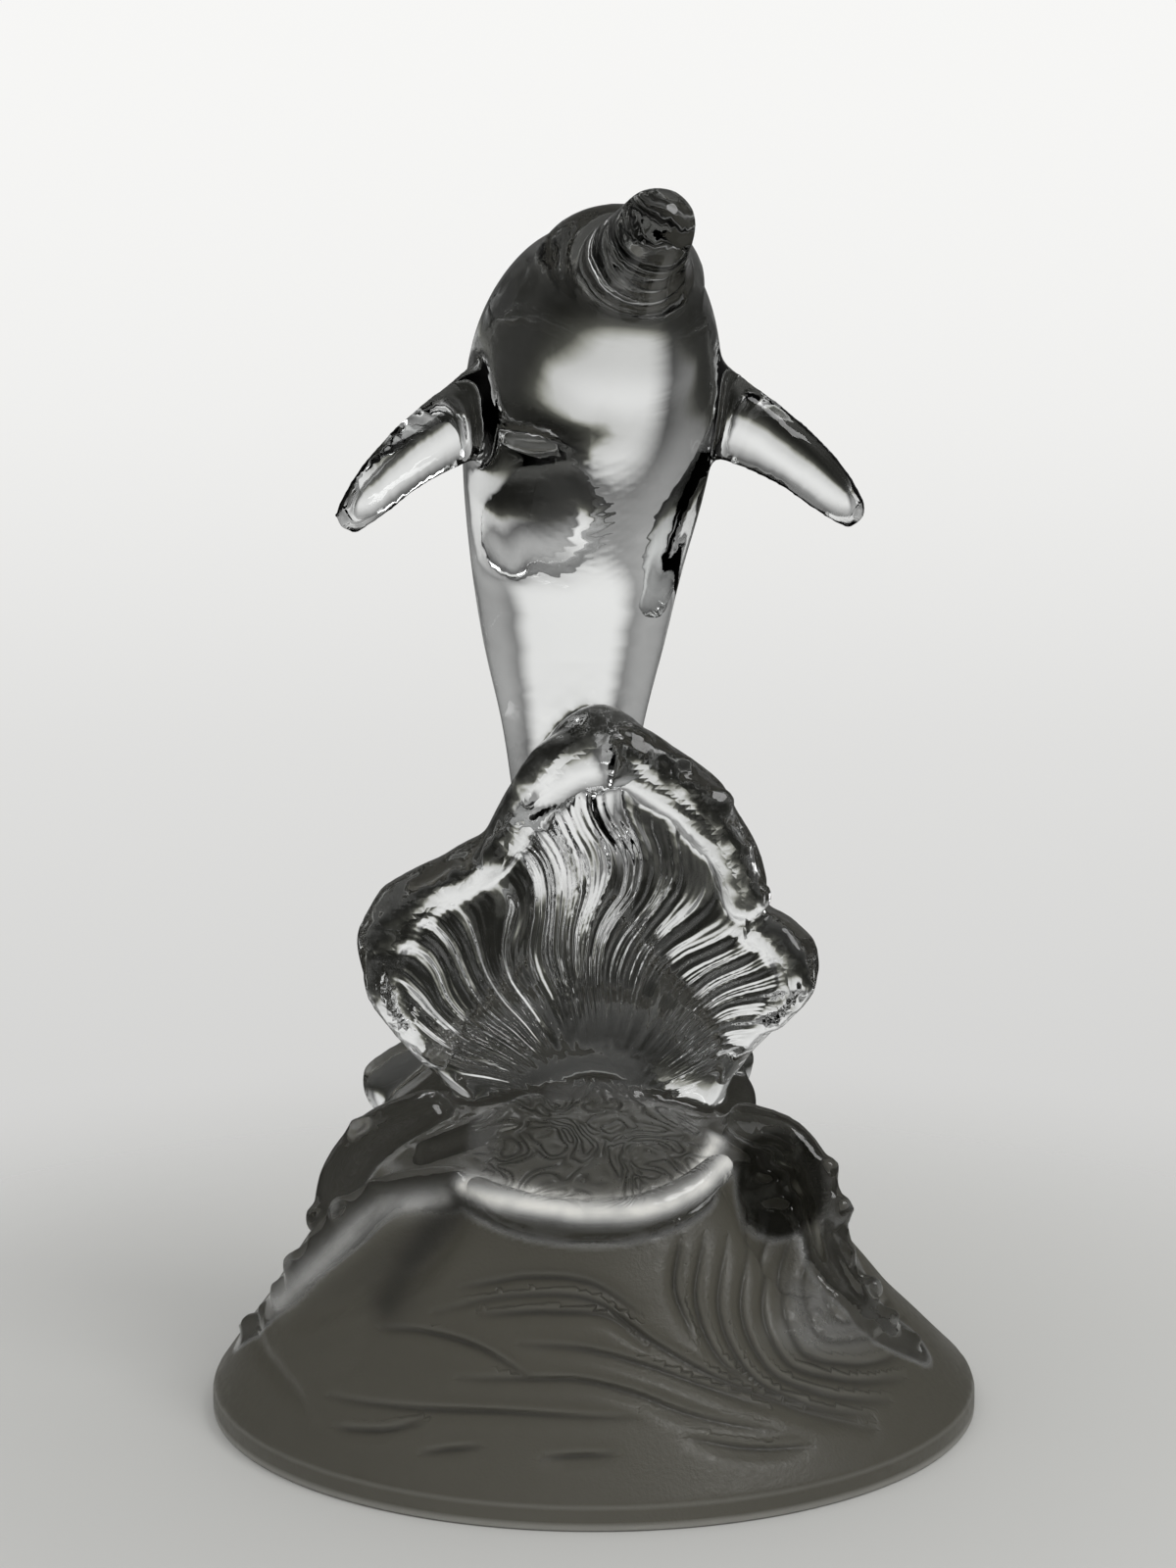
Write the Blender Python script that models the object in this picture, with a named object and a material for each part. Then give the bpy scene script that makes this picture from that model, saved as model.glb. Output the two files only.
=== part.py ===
"""A cast glass dolphin leaping over a breaking wave on an oval base. Metres, +Z up, the viewer at -Y.

Each form is a closed loft. A voxel remesh grows one skin round all of them. The skin is smoothed, carved
with the flutes, grooves and creases, thinned out, and cut flat at the bottom."""

import math

import bmesh
import bpy
import numpy as np

NODE = "dolphin_figurine"

# The oval base: its dome as (distance in from the edge along X, height)
BASE_WIDTH = 0.104
BASE_DEPTH = 0.096
RIM_HEIGHT = 0.0028
DOME = [
    (0.0000, RIM_HEIGHT),
    (0.0010, 0.0042),
    (0.0040, 0.0085),
    (0.0070, 0.0125),
    (0.0095, 0.0165),
    (0.0122, 0.0205),
    (0.0153, 0.0255),
    (0.0184, 0.0300),
    (0.0216, 0.0338),
    (0.0258, 0.0366),
    (0.0312, 0.0392),
    (0.0400, 0.0415),
    (0.0520, 0.0425),
]
DOME_TOP = DOME[-1][1]
# How far the dome's right side is drawn in, and the hollow beside the right curl as (x, y, half width, depth)
RIGHT_WAIST = 0.0055
HOLLOW = (0.0232, -0.0182, 0.0050, 0.0085)

# How far the wave and the tail reach down into the dome, and the base below the cut at the bottom
ROOT = 0.008
SPARE = 0.004

# The dolphin turns about the base's axis, towards the viewer's right. Heights are above the dome's top.
DOLPHIN_TURN = math.radians(14)
# (x, y, height, half width, half depth) from the tail stock to the brow
BODY = [
    (0, 0.0165, -0.0020, 0.0040, 0.0045),
    (0, 0.0160, 0.0100, 0.0046, 0.0062),
    (0, 0.0145, 0.0250, 0.0062, 0.0080),
    (0, 0.0130, 0.0380, 0.0080, 0.0096),
    (0, 0.0122, 0.0480, 0.0096, 0.0110),
    (0, 0.0115, 0.0600, 0.0124, 0.0132),
    (0, 0.0095, 0.0720, 0.0146, 0.0150),
    (0, 0.0052, 0.0830, 0.0163, 0.0162),
    (0, 0.0008, 0.0925, 0.0169, 0.0167),
    (0, -0.0032, 0.0994, 0.0160, 0.0158),
    (0, -0.0074, 0.1036, 0.0140, 0.0135),
    (0, -0.0114, 0.1062, 0.0114, 0.0106),
]
BEAK = [
    (0, -0.0030, 0.0960, 0.0136, 0.0114),
    (0, -0.0090, 0.1009, 0.0126, 0.0120),
    (0, -0.0135, 0.1045, 0.0107, 0.0101),
    (0, -0.0180, 0.1072, 0.0084, 0.0076),
    (0, -0.0225, 0.1094, 0.0066, 0.0062),
    (0, -0.0270, 0.1112, 0.0054, 0.0053),
    (0, -0.0308, 0.1127, 0.0047, 0.0046),
]
# Flippers, dorsal fin and flukes as (x, y, height, half chord, half thickness) from root to tip
FLIPPER = [
    (0.0100, -0.0020, 0.0950, 0.0063, 0.0034),
    (0.0165, -0.0030, 0.0904, 0.0057, 0.0030),
    (0.0215, -0.0040, 0.0877, 0.0049, 0.0026),
    (0.0265, -0.0052, 0.0843, 0.0041, 0.0023),
    (0.0312, -0.0062, 0.0799, 0.0032, 0.0020),
    (0.0334, -0.0066, 0.0776, 0.0023, 0.0017),
]
DORSAL = [
    (0, 0.0170, 0.0850, 0.0095, 0.0052),
    (0, 0.0240, 0.0810, 0.0078, 0.0042),
    (0, 0.0300, 0.0755, 0.0056, 0.0031),
    (0, 0.0342, 0.0700, 0.0036, 0.0022),
]
FLUKE = [
    (0.0000, 0.0165, 0.0020, 0.0085, 0.0046),
    (0.0080, 0.0170, 0.0015, 0.0078, 0.0040),
    (0.0160, 0.0178, -0.0005, 0.0064, 0.0034),
    (0.0220, 0.0186, -0.0020, 0.0054, 0.0030),
    (0.0255, 0.0190, -0.0034, 0.0046, 0.0028),
]

# The glass that joins the wave's back and the tail as (x, y, height, half width, half depth)
WEB = [
    (-0.0010, 0.0105, -0.0040, 0.0235, 0.0066),
    (-0.0010, 0.0105, 0.0040, 0.0205, 0.0066),
    (-0.0015, 0.0105, 0.0120, 0.0135, 0.0064),
    (-0.0020, 0.0100, 0.0240, 0.0080, 0.0062),
    (-0.0020, 0.0085, 0.0370, 0.0072, 0.0062),
]

# The wave: lobes of a cupped fan, each an outline of (degrees from upright, reach) about its foot's middle
WAVE_FOOT_SINK = 0.0025
WAVE_FOOT_Y = -0.006
WAVE_REACH = 0.052
WAVE_BOWL = 0.0070
WAVE_LIP = 0.0035
WAVE_CUP = 0.0075
WING_SPAN = 0.031
WALL_AT_FOOT = 0.014
WALL_AT_RIM = 0.0085
CREST = [
    (-36, 0.0290),
    (-26, 0.0370),
    (-19, 0.0415),
    (-13, 0.0462),
    (-8, 0.0500),
    (-4, 0.0535),
    (0, 0.0554),
    (4, 0.0546),
    (8, 0.0516),
    (14, 0.0497),
    (21, 0.0475),
    (25, 0.0447),
    (31, 0.0420),
    (37, 0.0385),
    (44, 0.0320),
]
LEFT_WING = [
    (-88, 0.0165),
    (-80, 0.0210),
    (-70, 0.0284),
    (-61, 0.0346),
    (-53, 0.0396),
    (-43, 0.0414),
    (-31, 0.0396),
    (-22, 0.0398),
    (-14, 0.0370),
]
RIGHT_WING = [
    (30, 0.0330),
    (38, 0.0352),
    (45, 0.0368),
    (52, 0.0374),
    (58, 0.0356),
    (64, 0.0290),
    (71, 0.0225),
    (80, 0.0185),
    (88, 0.0170),
]
# The rolled lips of the lobes as (degrees, reach, radius)
CREST_ROLL = [
    (-22, 0.0368, 0.0022),
    (-13, 0.0418, 0.0032),
    (-5, 0.0472, 0.0044),
    (3, 0.0490, 0.0046),
    (11, 0.0466, 0.0042),
    (19, 0.0434, 0.0037),
    (27, 0.0396, 0.0031),
    (35, 0.0350, 0.0025),
]
LEFT_ROLL = [
    (-66, 0.0275, 0.0018),
    (-57, 0.0338, 0.0024),
    (-46, 0.0362, 0.0029),
    (-36, 0.0366, 0.0030),
    (-26, 0.0360, 0.0028),
]
RIGHT_ROLL = [
    (38, 0.0322, 0.0026),
    (47, 0.0340, 0.0031),
    (55, 0.0330, 0.0029),
    (62, 0.0272, 0.0020),
]
ROLL_FORWARD = 0.0010
ROLL_SINK = (0.85, 0.5)

# Flutes on the wave's face
FLUTE_COUNT = 48
FLUTE_DEPTH = 0.0009
FLUTE_START = 0.006
FLUTE_MARGIN = 0.0050
FLUTE_FADE = 0.006
FLUTE_FULL = 0.028
FLUTE_BAND = 0.0022
FLUTE_LEAST = 0.35
# How much the flutes differ in depth, and how fast that goes from flute to flute and along each one
FLUTE_UNEVEN = 0.25
FLUTE_BEAT = 0.37
FLUTE_BEAT_LENGTH = 0.0033
# (share of a turn, waves per turn or per metre, shift) of each slow wander of the flutes
FLUTE_SWAY = [(0.050, 140, 0.0), (0.035, 310, 1.3)]
FLUTE_DRIFT = [(0.030, 7.0, 0.4), (0.020, 13.0, 2.1)]

# Crests and lips on the base as (x, y, z, radius)
POOL_LIP = [
    (-0.0150, -0.0235, 0.0352, 0.0018),
    (-0.0105, -0.0268, 0.0340, 0.0023),
    (-0.0030, -0.0287, 0.0328, 0.0026),
    (0.0050, -0.0284, 0.0332, 0.0026),
    (0.0115, -0.0255, 0.0350, 0.0024),
    (0.0160, -0.0215, 0.0374, 0.0020),
]
LEFT_CURL = [
    (-0.0225, -0.0010, 0.0385, 0.0040),
    (-0.0280, -0.0020, 0.0360, 0.0044),
    (-0.0325, -0.0050, 0.0310, 0.0044),
    (-0.0342, -0.0080, 0.0255, 0.0036),
]
LEFT_CREST = [
    (-0.0180, -0.0200, 0.0356, 0.0018),
    (-0.0265, -0.0165, 0.0325, 0.0026),
    (-0.0325, -0.0150, 0.0275, 0.0032),
    (-0.0368, -0.0125, 0.0210, 0.0032),
    (-0.0412, -0.0080, 0.0140, 0.0028),
    (-0.0450, -0.0030, 0.0090, 0.0020),
]
RIGHT_CURL = [
    (0.0200, -0.0080, 0.0402, 0.0024),
    (0.0255, -0.0095, 0.0383, 0.0025),
    (0.0292, -0.0118, 0.0338, 0.0025),
    (0.0306, -0.0140, 0.0285, 0.0025),
    (0.0322, -0.0158, 0.0228, 0.0024),
    (0.0362, -0.0150, 0.0160, 0.0022),
    (0.0412, -0.0115, 0.0105, 0.0018),
]
# The bank under the right curl, so that the curl is a crest and no arch
RIGHT_BANK = [
    (0.0205, -0.0035, 0.0360, 0.0046),
    (0.0252, -0.0050, 0.0332, 0.0050),
    (0.0284, -0.0078, 0.0290, 0.0042),
    (0.0308, -0.0108, 0.0235, 0.0036),
    (0.0350, -0.0120, 0.0165, 0.0030),
]
FOOT_DRAPE = [
    (-0.0080, -0.0090, 0.0420, 0.0022),
    (-0.0150, -0.0120, 0.0395, 0.0024),
    (-0.0215, -0.0125, 0.0372, 0.0022),
]
# The low mound that the wave and the flukes stand on as (x, y, z, half depth, half height)
MOUND = [
    (-0.0240, 0.0090, 0.0362, 0.0075, 0.0048),
    (-0.0190, 0.0100, 0.0382, 0.0100, 0.0060),
    (-0.0100, 0.0105, 0.0388, 0.0118, 0.0066),
    (0.0000, 0.0106, 0.0390, 0.0122, 0.0068),
    (0.0100, 0.0108, 0.0386, 0.0118, 0.0064),
    (0.0172, 0.0112, 0.0378, 0.0098, 0.0055),
]
# Round drops along an edge: how far apart, and how far they stand out beside it
DROP_SPACING = 0.0046
DROP_RADIUS = 0.0017

# Carving: how far in front of the middle the base's carving starts and is full, then (depth, half width)
# of each kind of line, then its paths
BASE_FRONT = (0.0050, 0.0070)
GROOVE = (0.0007, 0.0009)
CREASE = (0.00035, 0.0007)
# Grooves of the base's front as (x, z) in the front view: the arcs of the swirl, then the long lines
SWIRLS = [
    [(0.0308, 0.0215), (0.0300, 0.0190), (0.0315, 0.0170), (0.0360, 0.0155), (0.0410, 0.0138)],
    [(0.0283, 0.0240), (0.0270, 0.0200), (0.0285, 0.0167), (0.0350, 0.0140), (0.0420, 0.0120)],
    [(0.0255, 0.0256), (0.0240, 0.0205), (0.0258, 0.0160), (0.0325, 0.0126), (0.0412, 0.0104)],
    [(0.0228, 0.0268), (0.0212, 0.0208), (0.0238, 0.0154), (0.0310, 0.0116), (0.0400, 0.0090)],
    [(0.0198, 0.0282), (0.0184, 0.0212), (0.0215, 0.0150), (0.0288, 0.0108), (0.0375, 0.0080)],
    [(0.0168, 0.0292), (0.0155, 0.0220), (0.0190, 0.0150), (0.0262, 0.0104), (0.0350, 0.0074)],
    [(0.0138, 0.0298), (0.0126, 0.0235), (0.0152, 0.0172), (0.0200, 0.0132)],
    [(0.0108, 0.0300), (0.0100, 0.0250), (0.0122, 0.0196)],
    [
        (-0.0200, 0.0213),
        (-0.0105, 0.0240),
        (-0.0002, 0.0239),
        (0.0074, 0.0192),
        (0.0168, 0.0141),
        (0.0266, 0.0095),
        (0.0353, 0.0062),
    ],
    [(-0.0165, 0.0244), (-0.0080, 0.0262), (-0.0005, 0.0258), (0.0055, 0.0226)],
    [(-0.0143, 0.0218), (-0.0053, 0.0226), (0.0020, 0.0220), (0.0064, 0.0190)],
    [(-0.0091, 0.0191), (-0.0016, 0.0188), (0.0074, 0.0166), (0.0136, 0.0142), (0.0213, 0.0109)],
    [(-0.0269, 0.0184), (-0.0221, 0.0190), (-0.0142, 0.0182), (-0.0084, 0.0159)],
    [
        (-0.0167, 0.0149),
        (-0.0090, 0.0154),
        (-0.0016, 0.0155),
        (0.0048, 0.0141),
        (0.0110, 0.0118),
        (0.0219, 0.0088),
    ],
    [(-0.0333, 0.0100), (-0.0244, 0.0108), (-0.0115, 0.0118), (0.0048, 0.0116)],
    [(-0.0323, 0.0072), (-0.0256, 0.0083), (-0.0212, 0.0099)],
    [(0.0116, 0.0093), (0.0192, 0.0074), (0.0264, 0.0066)],
    [(-0.0210, 0.0068), (-0.0140, 0.0082)],
    [(-0.0064, 0.0076), (0.0023, 0.0080)],
]
# The larger folds of the front as (depth, half width) and a path of (x, z). A negative depth is a ridge.
FOLDS = [
    ((0.0024, 0.0021), [(-0.0158, 0.0340), (-0.0204, 0.0290), (-0.0242, 0.0236)]),
    (
        (-0.0014, 0.0020),
        [(-0.0198, 0.0336), (-0.0250, 0.0290), (-0.0315, 0.0240), (-0.0375, 0.0192), (-0.0435, 0.0130)],
    ),
    ((0.0010, 0.0016), [(-0.0263, 0.0262), (-0.0320, 0.0205), (-0.0400, 0.0148)]),
    (
        (-0.0007, 0.0014),
        [(-0.0148, 0.0278), (-0.0210, 0.0235), (-0.0270, 0.0204), (-0.0330, 0.0170), (-0.0425, 0.0122)],
    ),
    ((0.0009, 0.0011), [(-0.0262, 0.0330), (-0.0296, 0.0272), (-0.0365, 0.0212)]),
    ((0.0008, 0.0010), [(-0.0445, 0.0106), (-0.0410, 0.0098), (-0.0380, 0.0088), (-0.0362, 0.0074)]),
    ((0.0010, 0.0009), [(0.0310, 0.0268), (0.0344, 0.0215), (0.0374, 0.0168)]),
    ((0.0007, 0.0009), [(0.0222, 0.0368), (0.0262, 0.0366)]),
    ((0.0007, 0.0009), [(0.0214, 0.0338), (0.0270, 0.0340)]),
    ((0.0007, 0.0009), [(0.0218, 0.0310), (0.0282, 0.0306)]),
]
# Lines on the dolphin's right half as (x, height) in its own front view, carved on both halves
MOUTH = [(0.0046, 0.1118), (0.0056, 0.1085), (0.0080, 0.1040), (0.0112, 0.1010)]
CHEEK = [(0.0112, 0.1010), (0.0132, 0.0975), (0.0148, 0.0935)]
BELLY = [(0.0135, 0.0800), (0.0105, 0.0720), (0.0070, 0.0620), (0.0035, 0.0520)]
# Where the lines stop, behind the widest part of the body and below the belly, and the eye as (x, y, height)
LINES_BEHIND = 0.004
LINES_FADE = 0.003
LINES_ABOVE = 0.048
EYE = (0.0142, -0.0105, 0.1070)
EYE_RADIUS = 0.0016
EYE_RAISE = 0.0006

# How fine the skin is, how much it is smoothed, and how many triangles are kept
VOXEL = 0.00075
SMOOTHING = 9
TRIANGLES = 12300
# A point this near the ground is moved onto it before the cut, and the angle that keeps an edge sharp
SNAP = 0.00015
SHARP = math.radians(55)

GLASS_COLOUR = (0.93, 0.94, 0.94, 1.0)
GLASS_INDEX = 1.52


def clear_scene():
    for obj in list(bpy.data.objects):
        bpy.data.objects.remove(obj, do_unlink=True)


def flow(rows, count):
    """`count` rows of numbers along one smooth curve through the rows given."""
    rows = np.array(rows, float)
    steps = np.linalg.norm(np.diff(rows[:, :3], axis=0), axis=1)
    at = np.concatenate([[0.0], np.cumsum(steps)])
    slope = np.gradient(rows, at, axis=0)
    along = np.linspace(0, at[-1], count)
    k = np.clip(np.searchsorted(at, along, side="right") - 1, 0, len(at) - 2)
    span = (at[k + 1] - at[k])[:, None]
    t = (along - at[k])[:, None] / span
    start = (1 + 2 * t) * (1 - t) ** 2 * rows[k] + t * (1 - t) ** 2 * span * slope[k]
    end = t**2 * (3 - 2 * t) * rows[k + 1] - t**2 * (1 - t) * span * slope[k + 1]
    return start + end


def unit(vectors):
    return vectors / np.linalg.norm(vectors, axis=-1, keepdims=True)


def turned(points, angle):
    """Points turned about the base's axis."""
    c, s = math.cos(angle), math.sin(angle)
    x, y, z = points[..., 0], points[..., 1], points[..., 2]
    return np.stack([c * x - s * y, s * x + c * y, z], axis=-1)


def loft(bm, rings):
    """A closed body through rings of points, added to bm."""
    rows = [[bm.verts.new(point) for point in ring] for ring in rings]
    count = len(rows[0])
    faces = [bm.faces.new(rows[0][::-1]), bm.faces.new(rows[-1])]
    for low, high in zip(rows, rows[1:]):
        for k in range(count):
            faces.append(bm.faces.new((low[k], low[(k + 1) % count], high[(k + 1) % count], high[k])))
    bmesh.ops.recalc_face_normals(bm, faces=faces)


def swept(rows, across, count=40, sides=32, domes=(False, True), turn=0.0):
    """Rings of ellipses (x, y, z, half width, half depth) along a curve, each square to it. `across` is
    the way the width points. An end in `domes` is closed by a dome."""
    rows = flow(rows, count)
    centre = rows[:, :3]
    ahead = unit(np.gradient(centre, axis=0))
    wide = np.array(across, float) - ahead * (ahead @ np.array(across, float))[:, None]
    wide = unit(wide)
    deep = np.cross(ahead, wide)
    angle = np.linspace(0, 2 * math.pi, sides, endpoint=False)

    def ring(k, scale, shift):
        middle = centre[k] + ahead[k] * shift
        sideways = np.outer(np.cos(angle), wide[k]) * rows[k, 3] * scale
        return middle + sideways + np.outer(np.sin(angle), deep[k]) * rows[k, 4] * scale

    rings = [ring(k, 1, 0) for k in range(count)]
    bends = [math.radians(a) for a in (20, 40, 60, 75, 86)]
    for at_end, k in ((False, 0), (True, count - 1)):
        if not domes[at_end]:
            continue
        reach = min(rows[k, 3:5]) * (1 if at_end else -1)
        cap = [ring(k, math.cos(bend), reach * math.sin(bend)) for bend in bends]
        rings = rings + cap if at_end else cap[::-1] + rings
    return turned(np.array(rings), turn)


def tube(rows, count=40):
    """Rings of circles (x, y, z, radius) along a curve, domed at both ends."""
    rows = [(x, y, z, radius, radius) for x, y, z, radius in rows]
    return swept(rows, (0, 0.3, 1), count, 20, (True, True))


def raised(rows, side=1):
    """Rows with a height above the dome's top, moved to their real height, and mirrored where side is -1."""
    return [(side * x, y, DOME_TOP + height, *sizes) for x, y, height, *sizes in rows]


def dolphin_bodies():
    turn = DOLPHIN_TURN
    made = [
        swept(raised(BODY), (1, 0, 0), 60, 48, turn=turn),
        swept(raised(BEAK), (1, 0, 0), 30, 40, turn=turn),
        swept(raised(DORSAL), (0, -0.5, 1), 30, 28, turn=turn),
    ]
    for side in (-1, 1):
        made.append(swept(raised(FLIPPER, side), (0.5 * side, -0.4, 1), 36, 28, turn=turn))
        made.append(swept(raised(FLUKE, side), (0, 0, 1), 30, 28, turn=turn))
    return made


def wave_point(degrees, reach):
    """(x, height above the wave's foot) of a place in the fan."""
    angle = np.radians(degrees)
    return reach * np.sin(angle), reach * np.cos(angle)


def wave_front(x, reach):
    """y of the wave's cupped face."""
    share = np.clip(reach / WAVE_REACH, 0, 1.2)
    bowl = WAVE_BOWL * np.sin(math.pi * np.clip(share, 0, 1))
    return WAVE_FOOT_Y + bowl - WAVE_LIP * share**3 - WAVE_CUP * (x / WING_SPAN) ** 2


def wave_foot_z():
    return DOME_TOP - WAVE_FOOT_SINK


def wave_lobe(outline, count=40, steps=14):
    """A lobe's rings, one per ray: out along the face, round the rim and back behind the wall."""
    outline = np.array(outline, float)
    degrees = np.linspace(outline[0, 0], outline[-1, 0], count)
    rings = []
    for angle in degrees:
        rim = np.interp(angle, outline[:, 0], outline[:, 1])
        out = np.linspace(-ROOT, rim - WALL_AT_RIM / 2, steps)
        wall = np.interp(out, [0, rim], [WALL_AT_FOOT, WALL_AT_RIM])
        x, height = wave_point(angle, out)
        front = wave_front(x, np.maximum(out, 0))
        face = np.stack([x, front, height], axis=1)
        back = np.stack([x, front + wall, height], axis=1)[::-1]
        bend = np.radians(np.linspace(-70, 70, 7))
        half = wall[-1] / 2
        end = out[-1] + half * np.cos(bend)
        x, height = wave_point(angle, end)
        round_rim = np.stack([x, front[-1] + half + half * np.sin(bend), height], axis=1)
        rings.append(np.concatenate([face, round_rim, back]) + [0, 0, wave_foot_z()])
    return np.array(rings)


def rolled(rows, proud):
    """A lip along a lobe. It stands well out from the face where proud is 1, and barely where it is 0."""
    made = []
    for degrees, reach, radius in rows:
        x, height = wave_point(degrees, reach)
        y = float(wave_front(x, reach)) + radius * ROLL_SINK[proud] - ROLL_FORWARD * proud
        made.append((float(x), y, wave_foot_z() + float(height), radius))
    return made


def wave_bodies():
    made = [wave_lobe(outline) for outline in (CREST, LEFT_WING, RIGHT_WING)]
    made += [tube(rolled(CREST_ROLL, 1)), tube(rolled(LEFT_ROLL, 0)), tube(rolled(RIGHT_ROLL, 0))]
    made.append(swept(raised(WEB), (1, 0, 0), 40, 36, (True, True)))
    return made + drops(rolled(CREST_ROLL[4:], 1), 1)


def dome_height(x, y):
    share = np.hypot(x / (BASE_WIDTH / 2), y / (BASE_DEPTH / 2))
    right = np.clip(x / (BASE_WIDTH / 2), 0, None) / np.maximum(share, 1e-6)
    share = share + RIGHT_WAIST / (BASE_WIDTH / 2) * np.sin(math.pi * share) * right**2
    profile = np.array(DOME)
    height = np.interp((1 - share) * BASE_WIDTH / 2, profile[:, 0], profile[:, 1])
    hollow_x, hollow_y, half_width, depth = HOLLOW
    away = np.hypot(x - hollow_x, y - hollow_y)
    return np.maximum(height - depth * np.exp(-((away / half_width) ** 2)), RIM_HEIGHT)


def base_body(sides=144, steps=60):
    """The oval base from below the cut, up the rim band and over the dome."""
    angle = np.linspace(0, 2 * math.pi, sides, endpoint=False)
    edge = np.stack([np.cos(angle) * BASE_WIDTH / 2, np.sin(angle) * BASE_DEPTH / 2], axis=1)
    rings = [np.column_stack([edge, np.full(sides, z)]) for z in (-SPARE, 0, RIM_HEIGHT / 2, RIM_HEIGHT)]
    for share in np.linspace(0.99, 0.01, steps):
        plan = edge * share
        rings.append(np.column_stack([plan, dome_height(plan[:, 0], plan[:, 1])]))
    return np.array(rings)


def drops(rows, side):
    """Small balls beside a crest, on its outer side."""
    rows = np.array(rows, float)
    length = np.linalg.norm(np.diff(rows[:, :3], axis=0), axis=1).sum()
    count = max(2, int(length / DROP_SPACING))
    made = []
    for k, (x, y, z, radius) in enumerate(flow(rows, count)):
        size = DROP_RADIUS * (0.85 + 0.3 * math.sin(2.4 * k))
        place = (x + side * radius * 0.7, y - radius * 0.3, z + radius * 0.35)
        made.append(tube([(*place, size), (place[0], place[1], place[2] + size * 0.2, size)], 3))
    return made


def base_bodies():
    made = [base_body()]
    crests = (POOL_LIP, LEFT_CURL, LEFT_CREST, RIGHT_CURL, RIGHT_BANK, FOOT_DRAPE)
    made += [tube(rows) for rows in crests]
    made.append(swept(MOUND, (0, 1, 0), 40, 36, (True, True)))
    return made + drops(LEFT_CREST[1:], -1) + drops(RIGHT_CURL[2:], 1) + drops(LEFT_CURL, -1)


def modified(mesh, add_modifiers):
    """A copy of a mesh after the modifiers that add_modifiers puts on an object that holds it."""
    obj = bpy.data.objects.new("stage", mesh)
    bpy.context.scene.collection.objects.link(obj)
    add_modifiers(obj)
    bpy.context.view_layer.update()
    made = bpy.data.meshes.new_from_object(obj.evaluated_get(bpy.context.evaluated_depsgraph_get()))
    bpy.data.objects.remove(obj, do_unlink=True)
    bpy.data.meshes.remove(mesh)
    return made


def one_skin(bodies):
    """One smoothed closed skin round all the lofts."""
    bm = bmesh.new()
    for rings in bodies:
        loft(bm, rings)
    mesh = bpy.data.meshes.new("lofts")
    bm.to_mesh(mesh)
    bm.free()

    def add_modifiers(obj):
        remesh = obj.modifiers.new("skin", "REMESH")
        remesh.mode = "VOXEL"
        remesh.voxel_size = VOXEL
        smooth = obj.modifiers.new("smooth", "SMOOTH")
        smooth.factor = 0.5
        smooth.iterations = SMOOTHING

    return modified(mesh, add_modifiers)


def line_cut(points, path, cut):
    """How far a soft line along a smooth curve through the path sinks each point. Its ends fade out."""
    depth, half_width = cut
    path = flow(path, 8 * len(path)) if len(path) > 2 else np.array(path, float)
    best, place = np.full(len(points), np.inf), np.zeros(len(points))
    for k, (start, end) in enumerate(zip(path, path[1:])):
        along = end - start
        t = np.clip((points - start) @ along / (along @ along), 0, 1)
        away = np.linalg.norm(points - start - t[:, None] * along, axis=1)
        nearer = away < best
        best[nearer], place[nearer] = away[nearer], (k + t[nearer]) / (len(path) - 1)
    fade = np.sqrt(np.sin(math.pi * np.clip(place, 0.02, 0.98)))
    return -depth * np.exp(-((best / half_width) ** 2)) * fade


def rim_reach(degrees):
    """How far the fan reaches along each ray."""
    lobes = [np.array(outline, float) for outline in (CREST, LEFT_WING, RIGHT_WING)]
    return np.max([np.interp(degrees, lobe[:, 0], lobe[:, 1], left=0, right=0) for lobe in lobes], axis=0)


def flutes(points):
    """Uneven ridges that fan out over the wave's face."""
    x, y, height = points[:, 0], points[:, 1], points[:, 2] - wave_foot_z()
    reach = np.hypot(x, height)
    angle = np.arctan2(x, height)
    end = rim_reach(np.degrees(angle)) - FLUTE_MARGIN
    on_face = np.exp(-(((y - wave_front(x, reach)) / FLUTE_BAND) ** 2)) * (height > -0.001)
    fade = np.clip((reach - FLUTE_START) / FLUTE_FADE, 0, 1) * np.clip((end - reach) / FLUTE_FADE, 0, 1)
    fade = fade * np.clip(reach / FLUTE_FULL, FLUTE_LEAST, 1)
    wander = sum(share * np.sin(count * reach + shift) for share, count, shift in FLUTE_SWAY)
    wander = wander + sum(share * np.sin(count * angle + shift) for share, count, shift in FLUTE_DRIFT)
    place = (angle + wander) * FLUTE_COUNT
    uneven = 1 - FLUTE_UNEVEN * (1 - np.sin(FLUTE_BEAT * place + reach / FLUTE_BEAT_LENGTH))
    return -FLUTE_DEPTH * on_face * fade * uneven * (np.cos(place) + 0.2 * np.cos(2 * place))


def base_carving(points):
    """The base's grooves and folds, drawn on what faces the front."""
    start, full = BASE_FRONT
    front = np.clip((-points[:, 1] - start) / (full - start), 0, 1)
    drawn = points[:, [0, 2]]
    amount = sum(line_cut(drawn, path, GROOVE) for path in SWIRLS)
    return (amount + sum(line_cut(drawn, path, cut) for cut, path in FOLDS)) * front


def dolphin_carving(points):
    """Lines on both halves of the dolphin, and its eyes."""
    own = turned(points, -DOLPHIN_TURN)
    own = np.stack([np.abs(own[:, 0]), own[:, 1], own[:, 2] - DOME_TOP], axis=1)
    front = np.clip((LINES_BEHIND - own[:, 1]) / LINES_FADE, 0, 1) * (own[:, 2] > LINES_ABOVE)
    amount = sum(line_cut(own[:, [0, 2]], path, CREASE) for path in (MOUTH, CHEEK, BELLY)) * front
    eye = np.linalg.norm(own - np.array(EYE), axis=1)
    return amount + EYE_RAISE * np.exp(-((eye / EYE_RADIUS) ** 2))


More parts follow.
